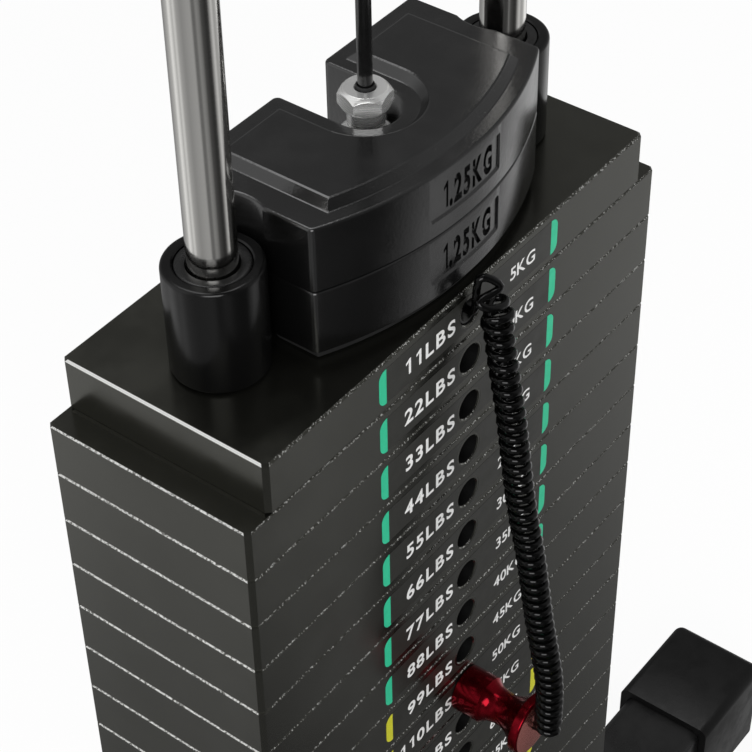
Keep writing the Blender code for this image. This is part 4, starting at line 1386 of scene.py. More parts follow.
@dataclass
class AddOnWeights(SubAssembly):
    """Two castings with a bowed front, a slot for the stem and a recessed panel with their weight."""

    half_length: float = 0.072
    back: float = 0.0323
    front: float = 0.0485
    front_radius: float = 0.155
    front_steps: int = 28
    rod_x: float = 0.091
    scallop_radius: float = 0.0210
    slot: float = 0.0142
    slot_steps: int = 16
    corner_radius: float = 0.0028
    edge: float = 0.0012
    edge_steps: int = 4
    thickness: float = 0.0292
    plateau_inset: float = 0.0070
    plateau_end: float = 0.0052
    plateau_draft: float = 0.0028
    plateau_height: float = 0.0036
    plateau_root: float = 0.002
    plateau_foot: tuple[Point2, ...] = ((-0.0010, -0.0001), (-0.0003, 0.0002), (0.0, 0.0007))
    plateau_crown: tuple[Point2, ...] = ((-0.0003, -0.0008), (0.0, -0.0003), (0.0008, 0.0))
    pocket_wall: float = 0.0062
    pocket_depth: float = 0.0245
    panel_half_width: float = 0.0223
    panel_top: float = 0.0050
    panel_height: float = 0.0160
    panel_depth: float = 0.0008
    panel_corner: float = 0.0012
    panel_corner_steps: int = 3
    panel_step: float = 0.0035
    panel_spread: Point2 = (0.985, 1.05)
    ledge_run: float = 0.0010
    pad_inset: float = 0.0035
    pad_edge: float = 0.0006
    letter_depth: float = 0.0013
    smooth_angle: float = 30.0
    mark: str = "1.25 KG"
    type: Lettering = field(
        default_factory=lambda: Lettering(1.0, 0.0166, 0.54, 0.0172, growth=0.045, gap=0.09)
    )

    def fillet(self, corner: Point2, before: Point2, after: Point2, radius: float) -> Points:
        """Round a corner.

        Args:
            corner: The corner.
            before: A point on the side before it.
            after: A point on the side after it.
            radius: Radius of the rounding.

        Returns:
            Its points.
        """
        origin = Vector(corner)
        to_before = (Vector(before) - origin).normalized()
        to_after = (Vector(after) - origin).normalized()
        half = to_before.angle(to_after) / 2
        reach = radius / math.tan(half)
        centre = origin + (to_before + to_after).normalized() * (radius / math.sin(half))
        first = origin + to_before * reach - centre
        last = origin + to_after * reach - centre
        shares = [step / ARC_STEPS for step in range(ARC_STEPS + 1)]
        return [tuple(centre + first.lerp(last, share).normalized() * radius) for share in shares]

    def outline(self, inset: float, end_inset: float | None = None) -> Points:
        """Plan of the casting, slot included.

        Args:
            inset: How far it is drawn in.
            end_inset: How far its ends are, where they have no scallops.

        Returns:
            Its points.
        """
        half = self.half_length - (inset if end_inset is None else end_inset)
        back = self.back - inset
        centre = self.front_radius - self.front
        radius = self.front_radius - inset
        slot = self.slot + inset
        fillet = max(self.corner_radius - inset, self.corner_radius / 5)
        right: Points = []
        corner_angle = math.asin(half / radius)
        bow = corner_angle - 1.3 * fillet / radius
        for step in range(1, self.front_steps + 1):
            angle = bow * step / self.front_steps
            right.append((radius * math.sin(angle), centre - radius * math.cos(angle)))
        corner = (half, centre - radius * math.cos(corner_angle))
        right += self.fillet(corner, right[-1], (half, 0.0), fillet)
        if end_inset is None:
            scallop = self.scallop_radius + inset
            sweep = math.acos((self.rod_x - half) / scallop)
            for step in range(self.slot_steps + 1):
                angle = -sweep + 2 * sweep * step / self.slot_steps
                right.append((self.rod_x - scallop * math.cos(angle), scallop * math.sin(angle)))
        right += self.fillet((half, back), (half, 0.0), (0.0, back), fillet)
        right += self.fillet((slot, back), (half, back), (slot, 0.0), fillet)
        right += [(slot * cosine, -slot * sine) for cosine, sine in quarter(self.slot_steps)[:-1]]
        left = [(-x, y) for x, y in reversed(right)]
        return [(0.0, centre - radius), *right, (0.0, -slot), *left]

    def body_levels(self, bottom: float) -> list[Level]:
        """The casting's body, from the pocket's roof down its walls and up to the rim.

        Args:
            bottom: Height of its underside.

        Returns:
            Outlines and heights.
        """
        top = bottom + self.thickness
        rows = [(self.pocket_wall, bottom + self.pocket_depth), (self.pocket_wall, bottom)]
        rows += [(self.edge / 2, bottom), (0.0, bottom + self.edge / 2)]
        arc = quarter(self.edge_steps)
        rows += [(self.edge * (1 - cosine), top - self.edge * (1 - sine)) for cosine, sine in arc]
        return [(self.outline(inset), height) for inset, height in rows]

    def plateau_levels(self, top: float) -> list[Level]:
        """The raised middle, from its root to its soft upper edge.

        Args:
            top: Height of the rim under it.

        Returns:
            Outlines and heights.
        """
        foot = self.plateau_inset
        crown, crest = foot + self.plateau_draft, top + self.plateau_height
        rows = [(foot + self.plateau_foot[0][0], top - self.plateau_root)]
        rows += [(foot + inset, top + rise) for inset, rise in self.plateau_foot]
        rows += [(crown + inset, crest + rise) for inset, rise in self.plateau_crown]
        return [(self.outline(inset, inset + self.plateau_end), height) for inset, height in rows]

    def on_arc(self, x: float, height: float, proud: float) -> Vector:
        """A point of the bowed front.

        Args:
            x: Its place along the front.
            height: Its height.
            proud: How far it stands out.

        Returns:
            The point.
        """
        radius = self.front_radius + proud
        angle = x / self.front_radius
        centre = self.front_radius - self.front
        return Vector((radius * math.sin(angle), centre - radius * math.cos(angle), height))

    def panel_tool(self, middle: float) -> Form:
        """Cutter of the shallow panel, with a sloped ledge below.

        Args:
            middle: The panel's middle.

        Returns:
            The cutter.
        """
        size = (2 * self.panel_half_width, self.panel_height, self.panel_corner)
        corners = rounded_rectangle(*size, self.panel_corner_steps)
        points: Points = []
        for start, end in zip(corners, corners[1:] + corners[:1]):
            steps = max(1, round(abs(end[0] - start[0]) / self.panel_step))
            for share in (step / steps for step in range(steps)):
                points.append(tuple(a + (b - a) * share for a, b in zip(start, end)))
        inner, outer = self.panel_spread
        shape = bmesh.new()
        rings = []
        sections = ((-self.panel_depth, inner, 0.0), (4 * self.panel_depth, outer, 5 * self.ledge_run))
        for proud, spread, drop in sections:
            ring = []
            for x, y in points:
                height = middle + y * spread - (drop if y < 0 else 0.0)
                ring.append(shape.verts.new(self.on_arc(x * spread, height, proud)))
            rings.append(ring)
        bridge(shape, *rings)
        caps = [shape.faces.new(ring) for ring in rings]
        bmesh.ops.triangulate(shape, faces=caps)
        return shape

    def letters_tool(self, middle: float) -> Form:
        """Cutter of the sunk mark, bent round the front.

        Args:
            middle: The mark's middle.

        Returns:
            The cutter.
        """
        shape = self.type.words(self.mark)
        for vert in shape.verts:
            x, y, depth = vert.co
            proud = self.panel_depth * 3 if depth > 0 else -self.panel_depth - self.letter_depth
            vert.co = self.on_arc(x, middle + y, proud)
        return shape

    def build(self) -> None:
        """Make both castings and the pad that the lower one rests on."""
        low, high = span("addon_pad")
        pad = slab(lambda inset: self.outline(self.pad_inset + inset), low.z, high.z, self.pad_edge)
        rubber = smoothed(as_mesh(pad))
        self.place("rubber_pad", rubber, "buffer_rubber", Body.LIFTED, Slot.RUBBER, "addon_pad")
        for node, body in (("addon_weight_lower", Body.LOWER), ("addon_weight_upper", Body.UPPER)):
            bottom = span(node)[0].z
            top = bottom + self.thickness
            middle = top - self.panel_top - self.panel_height / 2
            mesh = as_mesh(loft(self.body_levels(bottom)))
            mesh = combined(mesh, loft(self.plateau_levels(top)), Operation.ADD)
            mesh = combined(mesh, self.panel_tool(middle), Operation.CUT)
            mesh = combined(mesh, self.letters_tool(middle), Operation.CUT, crossing=True)
            mesh = smoothed(mesh, self.smooth_angle)
            name = node.replace("addon_weight", "addon_casting")
            self.place(name, mesh, "casting_paint", body, Slot.CASTING, node)


@dataclass
class RodsAndCollars(SubAssembly):
    """Polished rods, and the collars and bushes that run on them."""

    rod_chamfer: float = 0.001
    tapped_wall: float = 0.0033
    collar_edge: float = 0.0016
    collar_edge_steps: int = 5
    collar_lead: float = 0.0006
    bush_edge: float = 0.0008
    bush_wall: float = 0.0045

    def build(self) -> None:
        """Make the rods, the collars and the bushes."""
        for side in SIDES:
            self.build_rod(side)
            self.build_collar(side)
            self.build_bush(side)

    def build_rod(self, side: str) -> None:
        """Make one rod, tapped at its top for the yoke's screw.

        Args:
            side: Its side.
        """
        node = f"guide_rod_{side}"
        low, high = span(node)
        radius = (high.y - low.y) / 2
        hole = radius - self.tapped_wall
        end = span(f"rod_screw_{side}")[0].z - SEAT_GAP
        outer = rounded_step(radius, low.z, high.z, self.rod_chamfer)
        section = [(0.0, low.z), *outer, (hole, high.z), (hole, end), (0.0, end)]
        mesh = turned(section, POLISHED_SIDES, False, across(node))
        self.place(f"polished_rod_{side}", mesh, "rod_chrome", Body.STAND, Slot.CHROME, node)

    def build_collar(self, side: str) -> None:
        """Make one collar.

        Args:
            side: Its side.
        """
        node = f"collar_{side}"
        low, high = span(node)
        bush_low, bush_high = span(f"rod_bush_{side}")
        bore = (bush_high.y - bush_low.y) / 2 + SEAT_GAP
        lead = self.collar_lead
        outer = rounded_step((high.y - low.y) / 2, low.z, high.z, self.collar_edge, self.collar_edge_steps)
        section = [(bore, low.z), *outer, (bore + lead, high.z), (bore, high.z - lead)]
        mesh = turned(section, x=across(node))
        self.place(f"collar_tube_{side}", mesh, "collar_paint", Body.LIFTED, Slot.BLACK_PAINT, node)

    def build_bush(self, side: str) -> None:
        """Make the bush inside one collar.

        Args:
            side: Its side.
        """
        node = f"rod_bush_{side}"
        low, high = span(node)
        radius = (high.y - low.y) / 2
        inner, lead = radius - self.bush_wall, self.bush_edge
        section = [(inner, low.z), *rounded_step(radius, low.z, high.z, lead), (inner + 2 * lead, high.z)]
        section += [(inner + lead / 2, high.z - lead / 2), (inner, high.z - 2 * lead)]
        mesh = turned(section, x=across(f"collar_{side}"))
        self.place(f"bush_{side}", mesh, "bush_plastic", Body.LIFTED, Slot.PLASTIC, node)


@dataclass
class StemAndCable(SubAssembly):
    """The drilled stem, its bolt and nut, and the lifting cable with its sleeve and terminal."""

    plates: int = 19
    stem_radius: float = 0.011
    stem_chamfer: float = 0.0014
    stem_chamfer_steps: int = 2
    tapped_radius: float = 0.0077
    cross_hole: float = 0.0064
    ring_wall: float = 0.0022
    ring_edge: float = 0.0006
    bolt_radius: float = 0.0074
    bolt_edge: float = 0.0006
    head_flats: float = 0.019
    head_height: float = 0.009
    nut_flats: float = 0.022
    dome: float = 0.0026
    corner_share: float = 1.01
    crown_share: float = 0.88
    broken_edge: float = 0.00025
    cable_bore: float = 0.0034
    mouth: float = 0.0041
    mouth_lead: float = 0.0004
    sleeve_wall: float = 0.0005
    sleeve_edge: float = 0.00025
    cable_radius: float = 0.003
    cable_edge: float = 0.0003
    shank_radius: float = 0.0065
    shank_edge: float = 0.0008
    eye_radius: float = 0.014
    eye_hole: float = 0.0075
    eye_thickness: float = 0.008
    eye_edge: float = 0.0014

    def hexagonal(self, flats: float, low: float, high: float) -> Mesh:
        """A hexagon bar with both ends domed.

        Args:
            flats: Width across flats.
            low: Its lower end.
            high: Its upper end.

        Returns:
            The mesh.
        """
        crown = flats / 2 * self.crown_share
        wide = flats / math.sqrt(3) * self.corner_share
        rings = [(crown, low), (wide, low + self.dome), (wide, high - self.dome), (crown, high)]
        return hexagon_bar(flats, low, high, rings, POLISHED_SIDES)

    def build(self) -> None:
        """Make the stem, the fittings and the cable."""
        self.build_stem()
        self.build_ring()
        self.build_bolt()
        self.build_nut()
        self.build_cable()
        self.build_sleeve()
        self.build_terminal()

    def build_stem(self) -> None:
        """Make the stem, with a cross hole at every plate."""
        low, high = span("selector_stem")
        bolt_low = span("cable_bolt")[0].z - SEAT_GAP
        outer = rounded_step(self.stem_radius, low.z, high.z, self.stem_chamfer, self.stem_chamfer_steps)
        tapped = [(self.tapped_radius, high.z), (self.tapped_radius, bolt_low), (0.0, bolt_low)]
        mesh = as_mesh(lathe([(0.0, low.z), *outer, *tapped], SMALL_SIDES))
        drills = []
        reach = 2 * self.stem_radius
        for number in range(1, self.plates + 1):
            drill = bar(self.cross_hole, -reach, reach, sides=HOLE_SIDES)
            drills.append(to_front(drill, 0.0, level(f"weight_plate_{number:02d}")))
        mesh = smoothed(combined(mesh, joined(drills), Operation.CUT), DRILLED_ANGLE)
        self.place("drilled_stem", mesh, "drawn_steel", Body.LIFTED, Slot.STEEL, "selector_stem")

    def build_ring(self) -> None:
        """Make the ring round the stem, where it leaves the head plate."""
        low, high = span("stem_ring")
        bore = self.stem_radius + SEAT_GAP
        outer = rounded_step(bore + self.ring_wall, low.z, high.z, self.ring_edge)
        mesh = turned([(bore, low.z), *outer, (bore, high.z)], SMALL_SIDES)
        self.place("ring_on_stem", mesh, "drawn_steel", Body.LIFTED, Slot.STEEL, "stem_ring")

    def build_bolt(self) -> None:
        """Make the hollow bolt that holds the cable."""
        low, high = span("cable_bolt")
        head = self.hexagonal(self.head_flats, high.z - self.head_height, high.z)
        stud_top = high.z - self.head_height / 2
        stud = bar(self.bolt_radius, low.z, stud_top, self.bolt_edge, HEAD_SIDES)
        bore_low = span("lift_cable")[0].z - SEAT_GAP
        mouth_low = span("cable_sleeve")[0].z - SEAT_GAP
        above = high.z + self.head_height
        bore, mouth, lead = self.cable_bore, self.mouth, self.mouth_lead
        section = [(0.0, bore_low), (bore, bore_low), (bore, mouth_low), (mouth, mouth_low)]
        section += [(mouth, high.z - lead), (mouth + lead, high.z), (mouth + lead, above), (0.0, above)]
        mesh = combined(head, stud, Operation.ADD)
        mesh = combined(mesh, lathe(section, CABLE_SIDES), Operation.CUT)
        mesh = machined(mesh, self.broken_edge)
        self.place("hollow_bolt", mesh, "bright_zinc", Body.LIFTED, Slot.CHROME, "cable_bolt")

    def build_nut(self) -> None:
        """Make the nut that locks the bolt."""
        low, high = span("lock_nut")
        nut = self.hexagonal(self.nut_flats, low.z, high.z)
        radius = self.bolt_radius + SEAT_GAP
        hole = bar(radius, low.z - self.dome, high.z + self.dome, sides=HEAD_SIDES)
        mesh = machined(combined(nut, hole, Operation.CUT), self.broken_edge)
        self.place("jam_nut", mesh, "bright_zinc", Body.LIFTED, Slot.CHROME, "lock_nut")

    def build_cable(self) -> None:
        """Make the covered cable."""
        low, high = span("lift_cable")
        line = bar(self.cable_radius, low.z, high.z, self.cable_edge, CABLE_SIDES)
        mesh = smoothed(as_mesh(line))
        self.place("covered_cable", mesh, "cable_cover", Body.LIFTED, Slot.CORD, "lift_cable")

    def build_sleeve(self) -> None:
        """Make the short sleeve where the cable leaves the bolt."""
        low, high = span("cable_sleeve")
        inner, edge = self.cable_radius + SEAT_GAP, self.sleeve_edge
        outer = inner + self.sleeve_wall
        section = [(inner, low.z), (outer, low.z), (outer, high.z - edge), (outer - edge, high.z)]
        mesh = turned([*section, (inner, high.z)], CABLE_SIDES)
        self.place("cable_gaiter", mesh, "buffer_rubber", Body.LIFTED, Slot.RUBBER, "cable_sleeve")

    def build_terminal(self) -> None:
        """Make the swaged eye at the cable's upper end."""
        low, high = span("cable_terminal")
        middle = high.z - self.eye_radius
        top = low.z + (high.z - low.z - self.eye_radius - (self.eye_radius + self.eye_hole) / 2)
        shank = bar(self.shank_radius, low.z, top, self.shank_edge, CABLE_SIDES)
        thickness = self.eye_thickness
        eye = bar(self.eye_radius, -thickness / 2, thickness / 2, self.eye_edge, HEAD_SIDES)
        hole = bar(self.eye_hole, -thickness, thickness, sides=SMALL_SIDES)
        mesh = combined(as_mesh(shank), to_front(eye, 0.0, middle), Operation.ADD)
        mesh = combined(mesh, to_front(hole, 0.0, middle), Operation.CUT)
        cable_top = span("lift_cable")[1].z + SEAT_GAP
        radius = self.cable_radius + SEAT_GAP
        socket = bar(radius, low.z - CUTTER_REACH, cable_top, sides=CABLE_SIDES)
        mesh = machined(combined(mesh, socket, Operation.CUT), self.cable_edge)
        self.place("swaged_eye", mesh, "drawn_steel", Body.LIFTED, Slot.STEEL, "cable_terminal")


KNOB_LENGTH = 0.039
FERRULE_LENGTH = 0.014


@dataclass
class SelectorPin(SubAssembly):
    """The pin with its turned knob."""

    pin_radius: float = 0.006
    pin_edge: float = 0.0012
    knob_bore: float = 0.0063
    pin_in_knob: float = 0.016
    base: float = 0.0113
    base_length: float = 0.015
    base_edge: float = 0.0006
    waist: float = 0.0080
    waist_start: float = 0.002
    waist_share: float = 0.35
    waist_steps: int = 22
    flange: float = 0.0150
    flange_thickness: float = 0.0045
    bevel: float = 0.0012
    bevel_steps: int = 5
    cord_hole: float = 0.0020
    cord_depth: float = 0.007
    smooth_angle: float = 28.0

    def section(self) -> Points:
        """The knob's section, from the bore round to the cord hole.

        Returns:
            Radii and places along its axis.
        """
        inside = self.pin_in_knob + SEAT_GAP
        points = [(0.0, inside), (self.knob_bore, inside), (self.knob_bore, SEAT_GAP)]
        points += rounded_step(self.base, SEAT_GAP, self.base_length, self.base_edge)[:4]
        points += [(self.base, self.base_length - self.bevel), (self.base - self.bevel, self.base_length)]
        start = self.base_length + self.waist_start
        end = KNOB_LENGTH - self.flange_thickness
        for step in range(self.waist_steps + 1):
            share = step / self.waist_steps
            if share < self.waist_share:
                wide, reach = self.base - 2 * self.bevel, 1 - share / self.waist_share
            else:
                wide, reach = self.flange, (share - self.waist_share) / (1 - self.waist_share)
            points.append((self.waist + (wide - self.waist) * reach**2, start + (end - start) * share))
        rim, face, bevel = self.flange - self.bevel, KNOB_LENGTH - self.bevel, self.bevel
        points += [(rim + bevel * cosine, face + bevel * sine) for cosine, sine in quarter(self.bevel_steps)]
        floor = KNOB_LENGTH - self.cord_depth
        return [*points, (self.cord_hole, KNOB_LENGTH), (self.cord_hole, floor), (0.0, floor)]

    def build(self) -> None:
        """Make the shaft and the knob."""
        low, high = span("pin_shaft")
        height = level("pin_shaft")
        shaft = bar(self.pin_radius, -high.y, -low.y, self.pin_edge, SMALL_SIDES)
        mesh = smoothed(as_mesh(to_front(shaft, 0.0, height)))
        self.place("pin_bar", mesh, "pin_steel", Body.PIN, Slot.STEEL, "pin_shaft")
        seat = span("pin_knob")[0].y + KNOB_LENGTH
        knob = to_front(lathe(self.section()), seat, height)
        mesh = smoothed(as_mesh(knob), self.smooth_angle)
        self.place("turned_knob", mesh, "red_anodising", Body.PIN, Slot.RED, "pin_knob")


@dataclass
class Lanyard(SubAssembly):
    """The coiled cord between the head plate's ferrule and the knob."""

    radius: float = 0.0017
    coil_radius: float = 0.0048
    mouth_radius: float = 0.0062
    mouth_curls: float = 1.5
    curls: int = 45
    points_per_curl: int = 8
    refine: int = 2
    top_pitch: float = 0.0062
    end_pitch: float = 0.0045
    top_rise: float = 0.004
    in_knob: float = 0.005
    in_ferrule: float = 0.009
    lead_in_points: int = 33
    lead_out_points: int = 16
    bend: Point2 = (0.06, 0.90)
    drift: tuple[Point3, ...] = (
        (0.0, 0.23, 0.0023), (0.10, 0.32, 0.0016), (0.22, 0.44, 0.0008), (0.40, 0.58, 0.0),
        (0.54, 0.72, 0.0), (0.69, 0.84, 0.0), (0.845, 0.985, 0.0),
    )
    loop: tuple[Point3, ...] = (
        (0.0, -0.0005, 0.0), (-0.0008, -0.0028, 0.0042), (-0.0020, -0.0040, 0.0115),
        (-0.0012, -0.0046, 0.0185), (0.0018, -0.0070, 0.0186), (0.0048, -0.0106, 0.0136),
        (-0.0054, -0.0076, 0.0122), (-0.0045, -0.0105, 0.0095), (0.0015, -0.0132, 0.0072),
        (0.0072, -0.0120, 0.0059), (0.0082, -0.0086, 0.0054), (0.0048, -0.0064, 0.0050),
    )
    tail: tuple[Point3, ...] = ((0.95, 0.9, -0.45), (0.75, 1.9, -1.05))

    def __post_init__(self) -> None:
        """Read the ends' places from the frame."""
        self.front = span("head_plate")[0].y
        self.head = level("head_plate")
        self.pin = level("pin_shaft")

    def axis(self) -> list[Vector]:
        """The coil's centre line from top to bottom.

        Returns:
            Its points.
        """
        top = self.head + self.top_rise
        face = KNOB_LENGTH + self.coil_radius + self.radius + 2 * SEAT_GAP
        drop = top - self.pin
        rows = [(aside, self.front - face * out, top - drop * down) for down, out, aside in self.drift]
        return [Vector(row) for row in [*rows, (0.0, self.front - face, self.pin + self.coil_radius)]]

    @staticmethod
    def smooth_route(points: Sequence[Vector], count: int) -> list[Vector]:
        """Spread points by their parameter on a smooth curve.

        Args:
            points: Points of the curve.
            count: Number of steps.

        Returns:
            The route.
        """
        padded = [2 * points[0] - points[1], *points, 2 * points[-1] - points[-2]]
        spans = len(points) - 1
        route = []
        for step in range(count + 1):
            place = min(step / count * spans, spans - 1e-9)
            index = int(place)
            t = place - index
            a, b, c, d = padded[index : index + 4]
            square = (2 * a - 5 * b + 4 * c - d) * t**2
            cube = (3 * b - a - 3 * c + d) * t**3
            route.append(0.5 * (2 * b + (c - a) * t + square + cube))
        return route

    @staticmethod
    def measured(points: Sequence[Vector]) -> list[float]:
        """The distances along a route from its start to each point."""
        pieces = ((after - before).length for before, after in zip(points, points[1:]))
        return list(accumulate(pieces, initial=0.0))

    def spacing(self) -> list[float]:
        """Steps of the coil, wider at the top, a quarter turn over at the end.

        Returns:
            Their lengths.
        """
        count = self.curls * self.points_per_curl + self.points_per_curl // 4
        extra = self.top_pitch - self.end_pitch
        return [self.end_pitch + extra * (1 - step / count) ** 3 for step in range(count)]

    def coil(self) -> list[Vector]:
        """Wind the curls about the centre line.

        Returns:
            Their points, from top to bottom.
        """
        axis = self.smooth_route(self.axis(), 4 * self.curls)
        lengths = self.measured(axis)
        spacing = self.spacing()
        stretch = lengths[-1] / sum(spacing)
        side = Vector((1.0, 0.0, 0.0))
        points: list[Vector] = []
        distance = 0.0
        for step in range(len(spacing) + 1):
            limit = min(distance, lengths[-1] - 1e-6)
            index = next((i for i in range(1, len(axis) - 1) if lengths[i] >= limit), len(axis) - 1)
            before, after = axis[index - 1], axis[index]
            share = (limit - lengths[index - 1]) / (lengths[index] - lengths[index - 1])
            out = (after - before).normalized().cross(side).normalized()
            angle = math.pi - 2 * math.pi * step / self.points_per_curl
            widening = max(0.0, 1 - step / (self.mouth_curls * self.points_per_curl))
            radius = self.coil_radius + (self.mouth_radius - self.coil_radius) * widening
            turn = math.cos(angle) * side + math.sin(angle) * out
            points.append(before.lerp(after, share) + radius * turn)
            if step < len(spacing):
                distance += spacing[step] * stretch
        return points

    def route(self) -> list[Vector]:
        """The whole centre line, straight in the ferrule and in the knob.

        Returns:
            Its points.
        """
        curls = self.coil()
        depths = (self.in_ferrule, FERRULE_LENGTH / 3)
        start = [Vector((0.0, self.front + depth, self.head)) for depth in depths]
        start += [Vector((x, self.front + y, self.head + z)) for x, y, z in self.loop]
        face = self.front - KNOB_LENGTH
        turn = 2 * self.radius
        last = curls[-1]
        end = [Vector((x * turn, last.y + y * turn, last.z + z * turn)) for x, y, z in self.tail]
        end.append(Vector((0.12 * turn, face - 1.15 * turn, self.pin + 0.05 * turn)))
        end.append(Vector((0.0, face - 0.35 * turn, self.pin)))
        end.append(Vector((0.0, face + self.in_knob, self.pin)))
        lead_in = self.smooth_route([*start, *curls[:2]], self.lead_in_points)
        tail = self.smooth_route([*curls[-2:], *end], self.lead_out_points)
        coarse = lead_in + curls[2:-2] + tail
        return self.smooth_route(coarse, self.refine * (len(coarse) - 1))

    def tube(self, points: Sequence[Vector]) -> Mesh:
        """A smooth tube along a route.

        Args:
            points: The route.

        Returns:
            The mesh.
        """
        curve = bpy.data.curves.new("coiled_lanyard", "CURVE")
        curve.dimensions = "3D"
        curve.bevel_depth = self.radius
        curve.bevel_resolution = 3
        curve.use_fill_caps = True
        spline = curve.splines.new("POLY")
        spline.points.add(len(points) - 1)
        for place, point in zip(spline.points, points):
            place.co = (*point, 1.0)
        spline.use_smooth = True
        mesh = applied(linked("coiled_lanyard_line", curve))
        mesh.polygons.foreach_set("use_smooth", [True] * len(mesh.polygons))
        return mesh

    def build(self) -> None:
        """Make the cord as one unbroken tube between the lifted stack and the pin."""
        points = self.route()
        mesh = self.tube(points)
        mesh.materials.append(self.palette["cord_cover"])
        piece = linked("coiled_lanyard", mesh)
        start, end = (Vector(points[0]).lerp(Vector(points[-1]), share) for share in self.bend)
        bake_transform(piece)
        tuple(start)
        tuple(end)
        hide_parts("lanyard")
        length = self.measured(points)[-1]
        LOG.info("placed %s, %.3f m long", piece.name, length)


@dataclass
class Ferrule(SubAssembly):
    """The eyelet that the lanyard comes out of."""

    radius: float = 0.0063
    lip: float = 0.0012
    recess: float = 0.001
    flare: float = 0.0055
    flare_steps: int = 6
    bore: float = 0.0020

    def build(self) -> None:
        """Make the eyelet, with a lip that rolls over into its flared mouth."""
        mouth, soft = self.radius - self.lip, self.lip / 4
        section = [(self.bore, -FERRULE_LENGTH), (self.radius, -FERRULE_LENGTH)]
        section += [(self.radius, -self.recess - soft), (self.radius - soft, -self.recess)]
        section.append((mouth + soft, -self.recess))
        for step in range(self.flare_steps + 1):
            share = step / self.flare_steps
            reach = mouth + (self.bore - mouth) * share - soft * math.sin(math.pi * share)
            section.append((reach, -self.recess - (self.flare - self.recess) * share))
        shape = lathe(section, SMALL_SIDES, ring=True)
        front = span("head_plate")[0].y
        mesh = smoothed(as_mesh(to_front(shape, front, level("head_plate"))))
        self.place("eyelet", mesh, "eyelet_steel", Body.LIFTED, Slot.CHROME, "lanyard_ferrule")


